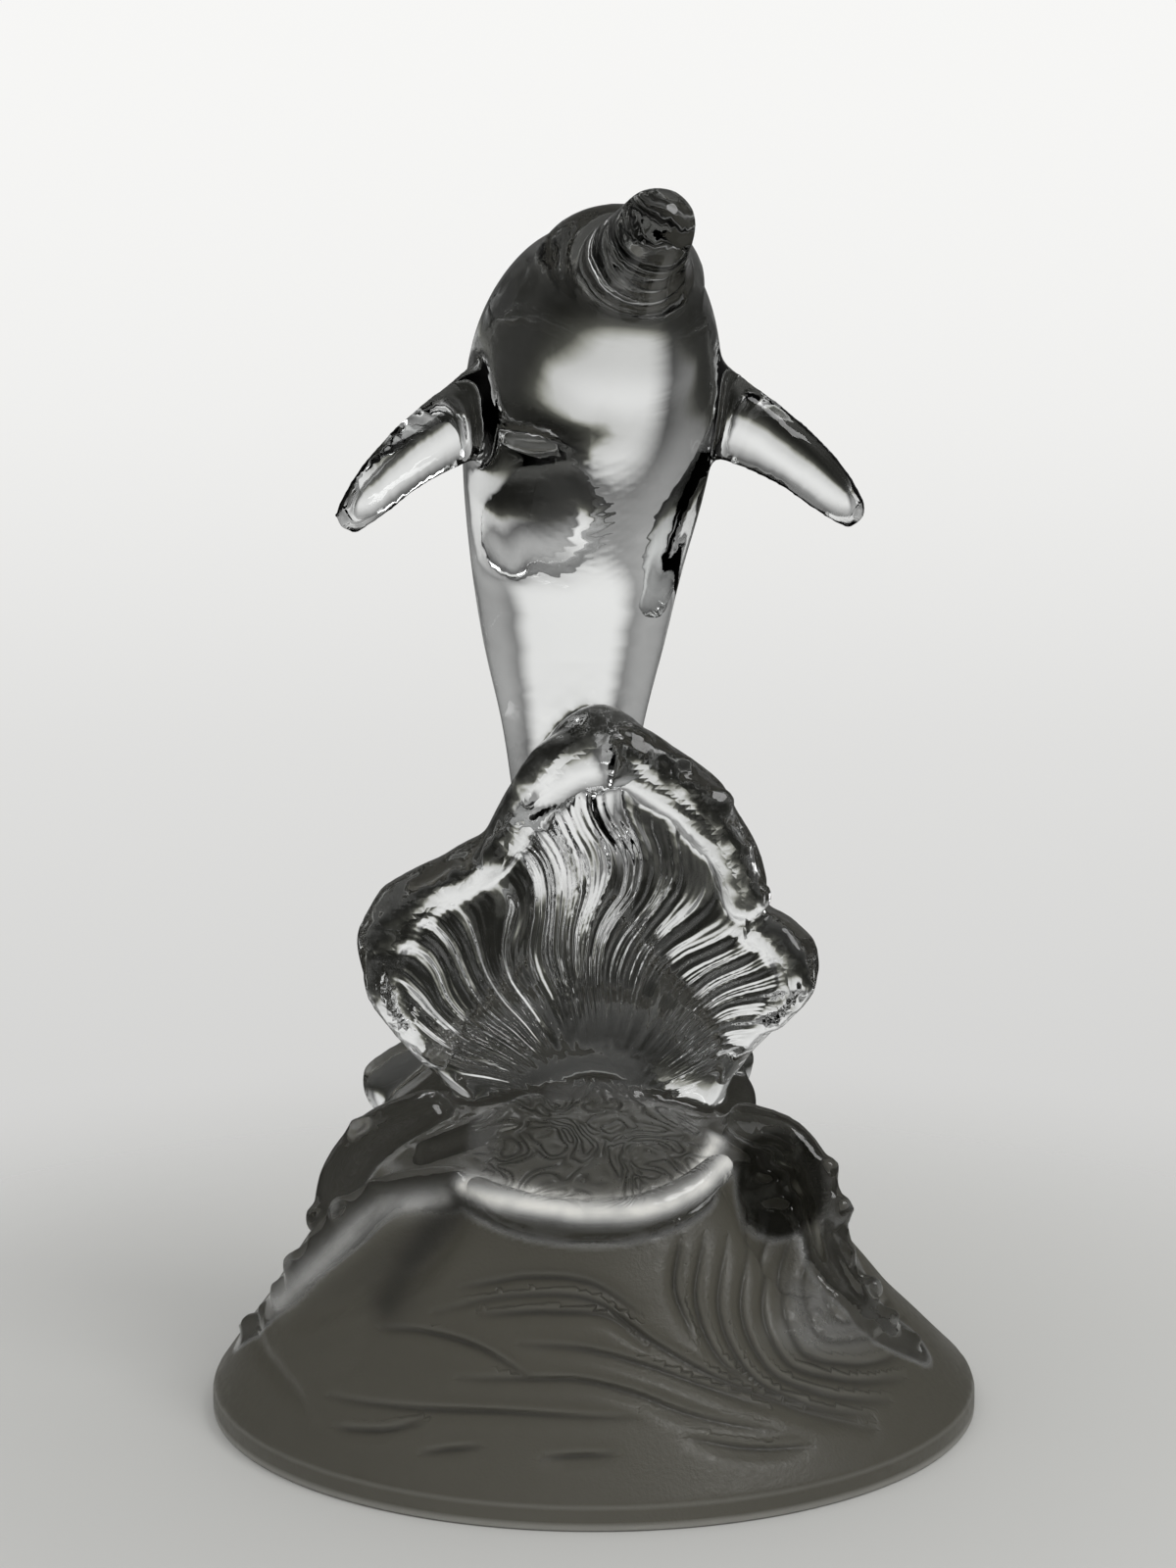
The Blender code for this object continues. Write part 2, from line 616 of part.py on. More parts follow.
def carve(mesh):
    count = len(mesh.vertices)
    points, normals = np.empty(count * 3, np.float32), np.empty(count * 3, np.float32)
    mesh.vertices.foreach_get("co", points)
    mesh.vertices.foreach_get("normal", normals)
    points, normals = points.reshape(-1, 3).astype(float), normals.reshape(-1, 3)
    amount = flutes(points) + base_carving(points) + dolphin_carving(points)
    points += normals * amount[:, None]
    mesh.vertices.foreach_set("co", points.astype(np.float32).ravel())
    mesh.update()


def thinned(mesh):
    """The mesh with about TRIANGLES triangles."""

    def add_modifiers(obj):
        thin = obj.modifiers.new("thin", "DECIMATE")
        thin.ratio = min(1.0, TRIANGLES / (2 * len(mesh.polygons)))

    return modified(mesh, add_modifiers)


def flat_bottom(mesh):
    """Cuts off what lies below the ground and closes the cut with one flat face."""
    bm = bmesh.new()
    bm.from_mesh(mesh)
    for vertex in bm.verts:
        if abs(vertex.co.z) < SNAP:
            vertex.co.z = 0
    everything = bm.verts[:] + bm.edges[:] + bm.faces[:]
    bmesh.ops.bisect_plane(
        bm, geom=everything, dist=1e-7, plane_co=(0, 0, 0), plane_no=(0, 0, 1), clear_inner=True
    )
    bmesh.ops.holes_fill(bm, edges=[edge for edge in bm.edges if edge.is_boundary], sides=0)
    bmesh.ops.triangulate(bm, faces=bm.faces[:])
    bm.to_mesh(mesh)
    bm.free()
    return mesh


def glass():
    material = bpy.data.materials.new("crystal_glass")
    material.use_nodes = True
    shader = material.node_tree.nodes["Principled BSDF"]
    shader.inputs["Base Color"].default_value = GLASS_COLOUR
    shader.inputs["Transmission Weight"].default_value = 1.0
    shader.inputs["IOR"].default_value = GLASS_INDEX
    shader.inputs["Roughness"].default_value = 0.05
    material.diffuse_color = (0.75, 0.80, 0.82, 1.0)
    return material


def build():
    clear_scene()
    skin = one_skin(dolphin_bodies() + wave_bodies() + base_bodies())
    carve(skin)
    mesh = flat_bottom(thinned(skin))
    mesh.name = NODE
    mesh.materials.clear()
    mesh.materials.append(glass())
    obj = bpy.data.objects.new(NODE, mesh)
    bpy.context.scene.collection.objects.link(obj)
    mesh.shade_smooth()
    mesh.set_sharp_from_angle(angle=SHARP)


build()
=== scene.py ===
"""The looks of a cast glass dolphin leaping over a breaking wave. Metres, +Z up, the camera at -Y.

One fine glass skin is grown round the same lofts as the solid, carved, and stands for the solid."""

import math

import bmesh
import bpy
import numpy as np
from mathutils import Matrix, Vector


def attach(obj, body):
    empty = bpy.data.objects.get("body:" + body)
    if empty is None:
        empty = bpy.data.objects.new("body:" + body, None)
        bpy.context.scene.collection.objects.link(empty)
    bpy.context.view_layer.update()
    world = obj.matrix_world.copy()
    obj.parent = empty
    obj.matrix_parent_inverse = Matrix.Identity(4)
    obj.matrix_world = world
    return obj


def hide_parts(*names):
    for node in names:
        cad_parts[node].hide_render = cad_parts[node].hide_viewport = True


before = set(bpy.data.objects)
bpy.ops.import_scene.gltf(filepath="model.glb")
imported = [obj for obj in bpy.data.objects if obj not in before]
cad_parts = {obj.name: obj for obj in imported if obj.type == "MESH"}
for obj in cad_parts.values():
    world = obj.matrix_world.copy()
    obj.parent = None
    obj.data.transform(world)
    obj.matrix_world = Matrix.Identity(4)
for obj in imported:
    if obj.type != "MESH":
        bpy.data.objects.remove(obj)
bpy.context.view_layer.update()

NODE = "dolphin_figurine"
BODY_NAME = "root"

# The oval base: its dome as (distance in from the edge along X, height)
BASE_WIDTH = 0.104
BASE_DEPTH = 0.096
RIM_HEIGHT = 0.0028
DOME = [
    (0.0000, RIM_HEIGHT),
    (0.0010, 0.0042),
    (0.0040, 0.0085),
    (0.0070, 0.0125),
    (0.0095, 0.0165),
    (0.0122, 0.0205),
    (0.0153, 0.0255),
    (0.0184, 0.0300),
    (0.0216, 0.0338),
    (0.0258, 0.0366),
    (0.0312, 0.0392),
    (0.0400, 0.0415),
    (0.0520, 0.0425),
]
DOME_TOP = DOME[-1][1]
# How far the dome's right side is drawn in, and the hollow beside the right curl as (x, y, half width, depth)
RIGHT_WAIST = 0.0055
HOLLOW = (0.0232, -0.0182, 0.0050, 0.0085)

# How far the wave and the tail reach down into the dome, and the base below the cut at the bottom
ROOT = 0.008
SPARE = 0.004

# The dolphin turns about the base's axis, towards the viewer's right. Heights are above the dome's top.
DOLPHIN_TURN = math.radians(14)
# (x, y, height, half width, half depth) from the tail stock to the brow
BODY = [
    (0, 0.0165, -0.0020, 0.0040, 0.0045),
    (0, 0.0160, 0.0100, 0.0046, 0.0062),
    (0, 0.0145, 0.0250, 0.0062, 0.0080),
    (0, 0.0130, 0.0380, 0.0080, 0.0096),
    (0, 0.0122, 0.0480, 0.0096, 0.0110),
    (0, 0.0115, 0.0600, 0.0124, 0.0132),
    (0, 0.0095, 0.0720, 0.0146, 0.0150),
    (0, 0.0052, 0.0830, 0.0163, 0.0162),
    (0, 0.0008, 0.0925, 0.0169, 0.0167),
    (0, -0.0032, 0.0994, 0.0160, 0.0158),
    (0, -0.0074, 0.1036, 0.0140, 0.0135),
    (0, -0.0114, 0.1062, 0.0114, 0.0106),
]
BEAK = [
    (0, -0.0030, 0.0960, 0.0136, 0.0114),
    (0, -0.0090, 0.1009, 0.0126, 0.0120),
    (0, -0.0135, 0.1045, 0.0107, 0.0101),
    (0, -0.0180, 0.1072, 0.0084, 0.0076),
    (0, -0.0225, 0.1094, 0.0066, 0.0062),
    (0, -0.0270, 0.1112, 0.0054, 0.0053),
    (0, -0.0308, 0.1127, 0.0047, 0.0046),
]
# Flippers, dorsal fin and flukes as (x, y, height, half chord, half thickness) from root to tip
FLIPPER = [
    (0.0100, -0.0020, 0.0950, 0.0063, 0.0034),
    (0.0165, -0.0030, 0.0904, 0.0057, 0.0030),
    (0.0215, -0.0040, 0.0877, 0.0049, 0.0026),
    (0.0265, -0.0052, 0.0843, 0.0041, 0.0023),
    (0.0312, -0.0062, 0.0799, 0.0032, 0.0020),
    (0.0334, -0.0066, 0.0776, 0.0023, 0.0017),
]
DORSAL = [
    (0, 0.0170, 0.0850, 0.0095, 0.0052),
    (0, 0.0240, 0.0810, 0.0078, 0.0042),
    (0, 0.0300, 0.0755, 0.0056, 0.0031),
    (0, 0.0342, 0.0700, 0.0036, 0.0022),
]
FLUKE = [
    (0.0000, 0.0165, 0.0020, 0.0085, 0.0046),
    (0.0080, 0.0170, 0.0015, 0.0078, 0.0040),
    (0.0160, 0.0178, -0.0005, 0.0064, 0.0034),
    (0.0220, 0.0186, -0.0020, 0.0054, 0.0030),
    (0.0255, 0.0190, -0.0034, 0.0046, 0.0028),
]

# The glass that joins the wave's back and the tail as (x, y, height, half width, half depth)
WEB = [
    (-0.0010, 0.0105, -0.0040, 0.0235, 0.0066),
    (-0.0010, 0.0105, 0.0040, 0.0205, 0.0066),
    (-0.0015, 0.0105, 0.0120, 0.0135, 0.0064),
    (-0.0020, 0.0100, 0.0240, 0.0080, 0.0062),
    (-0.0020, 0.0085, 0.0370, 0.0072, 0.0062),
]

# The wave: lobes of a cupped fan, each an outline of (degrees from upright, reach) about its foot's middle
WAVE_FOOT_SINK = 0.0025
WAVE_FOOT_Y = -0.006
WAVE_REACH = 0.052
WAVE_BOWL = 0.0070
WAVE_LIP = 0.0035
WAVE_CUP = 0.0075
WING_SPAN = 0.031
WALL_AT_FOOT = 0.014
WALL_AT_RIM = 0.0085
CREST = [
    (-36, 0.0290),
    (-26, 0.0370),
    (-19, 0.0415),
    (-13, 0.0462),
    (-8, 0.0500),
    (-4, 0.0535),
    (0, 0.0554),
    (4, 0.0546),
    (8, 0.0516),
    (14, 0.0497),
    (21, 0.0475),
    (25, 0.0447),
    (31, 0.0420),
    (37, 0.0385),
    (44, 0.0320),
]
LEFT_WING = [
    (-88, 0.0165),
    (-80, 0.0210),
    (-70, 0.0284),
    (-61, 0.0346),
    (-53, 0.0396),
    (-43, 0.0414),
    (-31, 0.0396),
    (-22, 0.0398),
    (-14, 0.0370),
]
RIGHT_WING = [
    (30, 0.0330),
    (38, 0.0352),
    (45, 0.0368),
    (52, 0.0374),
    (58, 0.0356),
    (64, 0.0290),
    (71, 0.0225),
    (80, 0.0185),
    (88, 0.0170),
]
# The rolled lips of the lobes as (degrees, reach, radius)
CREST_ROLL = [
    (-22, 0.0368, 0.0022),
    (-13, 0.0418, 0.0032),
    (-5, 0.0472, 0.0044),
    (3, 0.0490, 0.0046),
    (11, 0.0466, 0.0042),
    (19, 0.0434, 0.0037),
    (27, 0.0396, 0.0031),
    (35, 0.0350, 0.0025),
]
LEFT_ROLL = [
    (-66, 0.0275, 0.0018),
    (-57, 0.0338, 0.0024),
    (-46, 0.0362, 0.0029),
    (-36, 0.0366, 0.0030),
    (-26, 0.0360, 0.0028),
]
RIGHT_ROLL = [
    (38, 0.0322, 0.0026),
    (47, 0.0340, 0.0031),
    (55, 0.0330, 0.0029),
    (62, 0.0272, 0.0020),
]
ROLL_FORWARD = 0.0010
ROLL_SINK = (0.85, 0.5)

# Flutes on the wave's face
FLUTE_COUNT = 48
FLUTE_DEPTH = 0.0009
FLUTE_START = 0.006
FLUTE_MARGIN = 0.0050
FLUTE_FADE = 0.006
FLUTE_FULL = 0.028
FLUTE_BAND = 0.0022
FLUTE_LEAST = 0.35
# How much the flutes differ in depth, and how fast that goes from flute to flute and along each one
FLUTE_UNEVEN = 0.25
FLUTE_BEAT = 0.37
FLUTE_BEAT_LENGTH = 0.0033
# (share of a turn, waves per turn or per metre, shift) of each slow wander of the flutes
FLUTE_SWAY = [(0.050, 140, 0.0), (0.035, 310, 1.3)]
FLUTE_DRIFT = [(0.030, 7.0, 0.4), (0.020, 13.0, 2.1)]

# Crests and lips on the base as (x, y, z, radius)
POOL_LIP = [
    (-0.0150, -0.0235, 0.0352, 0.0018),
    (-0.0105, -0.0268, 0.0340, 0.0023),
    (-0.0030, -0.0287, 0.0328, 0.0026),
    (0.0050, -0.0284, 0.0332, 0.0026),
    (0.0115, -0.0255, 0.0350, 0.0024),
    (0.0160, -0.0215, 0.0374, 0.0020),
]
LEFT_CURL = [
    (-0.0225, -0.0010, 0.0385, 0.0040),
    (-0.0280, -0.0020, 0.0360, 0.0044),
    (-0.0325, -0.0050, 0.0310, 0.0044),
    (-0.0342, -0.0080, 0.0255, 0.0036),
]
LEFT_CREST = [
    (-0.0180, -0.0200, 0.0356, 0.0018),
    (-0.0265, -0.0165, 0.0325, 0.0026),
    (-0.0325, -0.0150, 0.0275, 0.0032),
    (-0.0368, -0.0125, 0.0210, 0.0032),
    (-0.0412, -0.0080, 0.0140, 0.0028),
    (-0.0450, -0.0030, 0.0090, 0.0020),
]
RIGHT_CURL = [
    (0.0200, -0.0080, 0.0402, 0.0024),
    (0.0255, -0.0095, 0.0383, 0.0025),
    (0.0292, -0.0118, 0.0338, 0.0025),
    (0.0306, -0.0140, 0.0285, 0.0025),
    (0.0322, -0.0158, 0.0228, 0.0024),
    (0.0362, -0.0150, 0.0160, 0.0022),
    (0.0412, -0.0115, 0.0105, 0.0018),
]
# The bank under the right curl, so that the curl is a crest and no arch
RIGHT_BANK = [
    (0.0205, -0.0035, 0.0360, 0.0046),
    (0.0252, -0.0050, 0.0332, 0.0050),
    (0.0284, -0.0078, 0.0290, 0.0042),
    (0.0308, -0.0108, 0.0235, 0.0036),
    (0.0350, -0.0120, 0.0165, 0.0030),
]
FOOT_DRAPE = [
    (-0.0080, -0.0090, 0.0420, 0.0022),
    (-0.0150, -0.0120, 0.0395, 0.0024),
    (-0.0215, -0.0125, 0.0372, 0.0022),
]
# The low mound that the wave and the flukes stand on as (x, y, z, half depth, half height)
MOUND = [
    (-0.0240, 0.0090, 0.0362, 0.0075, 0.0048),
    (-0.0190, 0.0100, 0.0382, 0.0100, 0.0060),
    (-0.0100, 0.0105, 0.0388, 0.0118, 0.0066),
    (0.0000, 0.0106, 0.0390, 0.0122, 0.0068),
    (0.0100, 0.0108, 0.0386, 0.0118, 0.0064),
    (0.0172, 0.0112, 0.0378, 0.0098, 0.0055),
]
# Round drops along an edge: how far apart, and how far they stand out beside it
DROP_SPACING = 0.0046
DROP_RADIUS = 0.0017

# Carving: how far in front of the middle the base's carving starts and is full, then (depth, half width)
# of each kind of line, then its paths
BASE_FRONT = (0.0050, 0.0070)
GROOVE = (0.0007, 0.0009)
CREASE = (0.00035, 0.0007)
# Grooves of the base's front as (x, z) in the front view: the arcs of the swirl, then the long lines
SWIRLS = [
    [(0.0308, 0.0215), (0.0300, 0.0190), (0.0315, 0.0170), (0.0360, 0.0155), (0.0410, 0.0138)],
    [(0.0283, 0.0240), (0.0270, 0.0200), (0.0285, 0.0167), (0.0350, 0.0140), (0.0420, 0.0120)],
    [(0.0255, 0.0256), (0.0240, 0.0205), (0.0258, 0.0160), (0.0325, 0.0126), (0.0412, 0.0104)],
    [(0.0228, 0.0268), (0.0212, 0.0208), (0.0238, 0.0154), (0.0310, 0.0116), (0.0400, 0.0090)],
    [(0.0198, 0.0282), (0.0184, 0.0212), (0.0215, 0.0150), (0.0288, 0.0108), (0.0375, 0.0080)],
    [(0.0168, 0.0292), (0.0155, 0.0220), (0.0190, 0.0150), (0.0262, 0.0104), (0.0350, 0.0074)],
    [(0.0138, 0.0298), (0.0126, 0.0235), (0.0152, 0.0172), (0.0200, 0.0132)],
    [(0.0108, 0.0300), (0.0100, 0.0250), (0.0122, 0.0196)],
    [
        (-0.0200, 0.0213),
        (-0.0105, 0.0240),
        (-0.0002, 0.0239),
        (0.0074, 0.0192),
        (0.0168, 0.0141),
        (0.0266, 0.0095),
        (0.0353, 0.0062),
    ],
    [(-0.0165, 0.0244), (-0.0080, 0.0262), (-0.0005, 0.0258), (0.0055, 0.0226)],
    [(-0.0143, 0.0218), (-0.0053, 0.0226), (0.0020, 0.0220), (0.0064, 0.0190)],
    [(-0.0091, 0.0191), (-0.0016, 0.0188), (0.0074, 0.0166), (0.0136, 0.0142), (0.0213, 0.0109)],
    [(-0.0269, 0.0184), (-0.0221, 0.0190), (-0.0142, 0.0182), (-0.0084, 0.0159)],
    [
        (-0.0167, 0.0149),
        (-0.0090, 0.0154),
        (-0.0016, 0.0155),
        (0.0048, 0.0141),
        (0.0110, 0.0118),
        (0.0219, 0.0088),
    ],
    [(-0.0333, 0.0100), (-0.0244, 0.0108), (-0.0115, 0.0118), (0.0048, 0.0116)],
    [(-0.0323, 0.0072), (-0.0256, 0.0083), (-0.0212, 0.0099)],
    [(0.0116, 0.0093), (0.0192, 0.0074), (0.0264, 0.0066)],
    [(-0.0210, 0.0068), (-0.0140, 0.0082)],
    [(-0.0064, 0.0076), (0.0023, 0.0080)],
]
# The larger folds of the front as (depth, half width) and a path of (x, z). A negative depth is a ridge.
FOLDS = [
    ((0.0024, 0.0021), [(-0.0158, 0.0340), (-0.0204, 0.0290), (-0.0242, 0.0236)]),
    (
        (-0.0014, 0.0020),
        [(-0.0198, 0.0336), (-0.0250, 0.0290), (-0.0315, 0.0240), (-0.0375, 0.0192), (-0.0435, 0.0130)],
    ),
    ((0.0010, 0.0016), [(-0.0263, 0.0262), (-0.0320, 0.0205), (-0.0400, 0.0148)]),
    (
        (-0.0007, 0.0014),
        [(-0.0148, 0.0278), (-0.0210, 0.0235), (-0.0270, 0.0204), (-0.0330, 0.0170), (-0.0425, 0.0122)],
    ),
    ((0.0009, 0.0011), [(-0.0262, 0.0330), (-0.0296, 0.0272), (-0.0365, 0.0212)]),
    ((0.0008, 0.0010), [(-0.0445, 0.0106), (-0.0410, 0.0098), (-0.0380, 0.0088), (-0.0362, 0.0074)]),
    ((0.0010, 0.0009), [(0.0310, 0.0268), (0.0344, 0.0215), (0.0374, 0.0168)]),
    ((0.0007, 0.0009), [(0.0222, 0.0368), (0.0262, 0.0366)]),
    ((0.0007, 0.0009), [(0.0214, 0.0338), (0.0270, 0.0340)]),
    ((0.0007, 0.0009), [(0.0218, 0.0310), (0.0282, 0.0306)]),
]
# Lines on the dolphin's right half as (x, height) in its own front view, carved on both halves
MOUTH = [(0.0046, 0.1118), (0.0056, 0.1085), (0.0080, 0.1040), (0.0112, 0.1010)]
CHEEK = [(0.0112, 0.1010), (0.0132, 0.0975), (0.0148, 0.0935)]
BELLY = [(0.0135, 0.0800), (0.0105, 0.0720), (0.0070, 0.0620), (0.0035, 0.0520)]
# Where the lines stop, behind the widest part of the body and below the belly, and the eye as (x, y, height)
LINES_BEHIND = 0.004
LINES_FADE = 0.003
LINES_ABOVE = 0.048
EYE = (0.0142, -0.0105, 0.1070)
EYE_RADIUS = 0.0016
EYE_RAISE = 0.0006

# How fine the scene's skin is, how far it is evened, and how near the ground a point is set onto it
FINE_VOXEL = 0.00068
FINE_SMOOTHING = 4
EVEN_ROUNDS = 14
DOLPHIN_ROUNDS = 60
CALM_ROUNDS = 40
EVEN_SHARES = (0.5, -0.52)
CALM_SHARE = 0.5
SNAP = 0.00008
# Where the dolphin's free part starts above the dome's top, and over what height
FREE_ABOVE = 0.052
FREE_FADE = 0.006

# The satin: how high it goes, how soft its upper edge is before and behind, and the crests left clear of it
SATIN_TOP = 0.0345
SATIN_EDGE = (0.0015, 0.0055)
CLEAR_CRESTS = [(POOL_LIP, 0.0034), (LEFT_CURL, 0.0058), (LEFT_CREST, 0.0044), (RIGHT_CURL, 0.0042)]
CLEAR_EDGE = 0.0012
POOL_FROST = 0.75
FOAM_FROST = 0.5
# The pool as (x, y, half width), its depth as a share of its width, and the heights that it lies between
POOL = (0.0005, -0.0165, 0.0150)
POOL_SQUEEZE = 1.2
POOL_EDGE = 0.005
POOL_FLOOR = (0.030, 0.002)
POOL_CEILING = (0.0445, 0.001)
# The hollow as seen from the front (x, z, half width, half height), its soft edge, and where it starts
HOLLOW_SEEN = (0.0245, 0.0328, 0.0060, 0.0070)
HOLLOW_EDGE = 0.18
HOLLOW_BEFORE = (0.004, 0.002)
# The foam's paths (x, z) and their half width, and where what is drawn on the front starts
FOAM = [
    [(0.0245, 0.0203), (0.0283, 0.0193), (0.0318, 0.0180)],
    [(0.0225, 0.0188), (0.0306, 0.0162), (0.0395, 0.0137)],
]
FOAM_WIDTH = 0.0016
DRAWN_BEFORE = (0.008, 0.002)
# Lines drawn on the base's front as (path of (x, z), half width, strength): painted highlights, and painted
# shade
PAINTED_HIGHLIGHT_PATHS = [
    (
        [
            (-0.0168, 0.0350),
            (-0.0100, 0.0350),
            (0.0000, 0.0343),
            (0.0075, 0.0347),
            (0.0130, 0.0362),
            (0.0170, 0.0386),
        ],
        0.0011,
        1.0,
    ),
    ([(-0.0193, 0.0335), (-0.0275, 0.0310), (-0.0345, 0.0245), (-0.0419, 0.0165)], 0.0014, 0.38),
]
PAINTED_SHADE_PATHS = [([(-0.0178, 0.0334), (-0.0205, 0.0300), (-0.0232, 0.0262), (-0.0262, 0.0215)], 0.0024, 1.0)]
# How wide a swirl line of painted shade looks, how far beside it its ridge's painted highlight lies, and how
# far out both are drawn
LINE_WIDTH = 0.00042
LINE_REACH = 0.0007
LINE_FULL = 1.6
RIDGE_BESIDE = 1.5
# Where the flutes' streaks start, and the crests' uneven skin: its edge, depth behind the face, band, foot
STREAKS_FROM = 0.010
CRESTS_EDGE = 0.002
CRESTS_BEHIND = 0.002
CRESTS_BAND = 0.009
CRESTS_ABOVE = 0.012

# The glass's index and its colours
GLASS_INDEX = 1.52
CLEAR_COLOUR = (0.95, 0.96, 0.96, 1)
FROST_COLOUR = (0.150, 0.141, 0.110, 1)
# Painted shade, in the grooves and along the shaded valley
PAINTED_SHADE_COLOUR = (0.05, 0.048, 0.04, 1)
# Painted highlight on the ridges beside the grooves
RIDGE_HIGHLIGHT_COLOUR = (0.34, 0.33, 0.29, 1)
# Painted shade in the hollow
HOLLOW_SHADE_COLOUR = (0.06, 0.06, 0.05, 1)
POOL_COLOUR = (0.10, 0.097, 0.076, 1)
EDDY_COLOUR = (0.035, 0.034, 0.028, 1)
# Painted highlight on the bright lines and edges
PAINTED_HIGHLIGHT_COLOUR = (0.88, 0.87, 0.82, 1)
# How much of each colour shows where it is full
GROOVE_SHADE_SHARE = 0.9
RIDGE_HIGHLIGHT_SHARE = 0.5
POOL_SHARE = 0.7
EDDY_SHARE = 0.22
SHADE_SHARE = 0.85
FOOT_HIGHLIGHT_SHARE = 0.45
SHOULDER_HIGHLIGHT_SHARE = 0.16
# How much light the satin and the painted bright lines scatter
FROST_SCATTER = 0.4
HIGHLIGHT_SCATTER = 0.95
# Heights between which the foot's painted bright edge fades, and half the width of the painted highlight line
# on the rim's shoulder
FOOT_EDGE = (0.0004, 0.0010)
SHOULDER_WIDTH = 0.0004
# Noises as (scale, detail, roughness, distortion)
RIPPLE = (110.0, 1.0, 0.4, 0.0)
TOOTH = (2200.0, 2.0, 0.6, 0.0)
GRAIN = (900.0, 3.0, 0.6, 0.0)
UNEVEN = (230.0, 1.5, 0.5, 0.0)
WAVER = (150.0, 1.0, 0.5, 0.0)
EDDIES = (120.0, 0.5, 0.5, 2.2)
BUBBLES = 520.0
# Ranges of a noise and what they become: the satin's roughness, and how uneven the bright lines are
GRAIN_RANGE = (0.3, 0.7, 0.34, 0.52)
UNEVEN_RANGE = (0.30, 0.55, 0.75, 1.0)
EDDY_TURNS = 18.0
# Streaks: how far they waver, then (streaks per flute's turn, share of the waver, strength) of each set
WAVER_REACH = 6.0
STREAKS = [(2.0, 1.0, 1.0), (5.0, 1.7, 0.35)]
# Bumps as (strength, distance)
RIPPLE_BUMP = (0.15, 0.0003)
TOOTH_BUMP = (0.5, 0.00012)
GROOVE_BUMP = (0.8, 0.0004)
STREAK_BUMP = (1.0, 0.00012)
CREST_BUMP = (1.0, 0.0012)
EDDY_BUMP = (1.0, 0.0006)
FOAM_BUMP = (1.0, 0.0012)

# The studio's tones as (height of the direction from 0 down to 1 up, tone): behind the object as the camera
# sees it, then through the glass, in the four bright panels and between them
BACKDROP = [(0.0, 0.60), (0.35, 0.62), (0.44, 0.74), (0.50, 0.88), (0.58, 0.95), (1.0, 0.9)]
THROUGH = [
    (0.0, 0.04),
    (0.12, 0.02),
    (0.22, 0.01),
    (0.34, 0.01),
    (0.425, 0.03),
    (0.445, 0.32),
    (0.465, 0.62),
    (0.54, 0.84),
    (0.61, 0.84),
    (0.70, 0.52),
    (0.85, 0.16),
    (1.0, 0.06),
]
BESIDE = [
    (0.0, 0.02),
    (0.40, 0.02),
    (0.47, 0.06),
    (0.53, 0.14),
    (0.60, 0.32),
    (0.70, 0.34),
    (0.85, 0.15),
    (1.0, 0.06),
]
# Blue and green against red, and the warmer blue of the tones below this height
GREEN_TINT = 0.998
HIGH_TINT = 0.985
LOW_TINT = 0.86
LOW_BELOW = 0.45
# Panels as (nearness to the panel's middle where it starts, where it is full, its least and its full share)
SQUARE_PANELS = (0.885, 0.965, 0.0, 1.0)
DIAGONAL_PANELS = (0.93, 1.0, 0.0, 0.25)
MIRRORED = 0.14
AMBIENT = 0.72

# The floor, how it fades out with its distance, and how much of it the glass sees
FLOOR_DROP = 0.0002
FLOOR_SIZE = 3.0
FLOOR_COLOUR = (0.62, 0.62, 0.60, 1)
FLOOR_ROUGHNESS = 0.85
FLOOR_SHINE = 0.1
FLOOR_FADE = (0.065, 0.20)
FLOOR_SEEN_THROUGH = 0.12

# The photograph's camera, and the lamp
CAMERA_AT = (-0.0008, -0.360, 0.134)
CAMERA_TILT = 7.9
CAMERA_LENS = 62.5
CAMERA_NEAR = 0.01
LAMP_AT = (0.35, -0.25, 0.55)
LAMP_AIM = (0, 0, 0.07)
LAMP_SIZE = 0.30
LAMP_POWER = 1.0


def flow(rows, count):
    """`count` rows of numbers along one smooth curve through the rows given."""
    rows = np.array(rows, float)
    steps = np.linalg.norm(np.diff(rows[:, :3], axis=0), axis=1)
    at = np.concatenate([[0.0], np.cumsum(steps)])
    slope = np.gradient(rows, at, axis=0)
    along = np.linspace(0, at[-1], count)
    k = np.clip(np.searchsorted(at, along, side="right") - 1, 0, len(at) - 2)
    span = (at[k + 1] - at[k])[:, None]
    t = (along - at[k])[:, None] / span
    start = (1 + 2 * t) * (1 - t) ** 2 * rows[k] + t * (1 - t) ** 2 * span * slope[k]
    end = t**2 * (3 - 2 * t) * rows[k + 1] - t**2 * (1 - t) * span * slope[k + 1]
    return start + end


def unit(vectors):
    return vectors / np.linalg.norm(vectors, axis=-1, keepdims=True)


def turned(points, angle):
    """Points turned about the base's axis."""
    c, s = math.cos(angle), math.sin(angle)
    x, y, z = points[..., 0], points[..., 1], points[..., 2]
    return np.stack([c * x - s * y, s * x + c * y, z], axis=-1)


def loft(bm, rings):
    """A closed body through rings of points, added to bm."""
    rows = [[bm.verts.new(point) for point in ring] for ring in rings]
    count = len(rows[0])
    faces = [bm.faces.new(rows[0][::-1]), bm.faces.new(rows[-1])]
    for low, high in zip(rows, rows[1:]):
        for k in range(count):
            faces.append(bm.faces.new((low[k], low[(k + 1) % count], high[(k + 1) % count], high[k])))
    bmesh.ops.recalc_face_normals(bm, faces=faces)


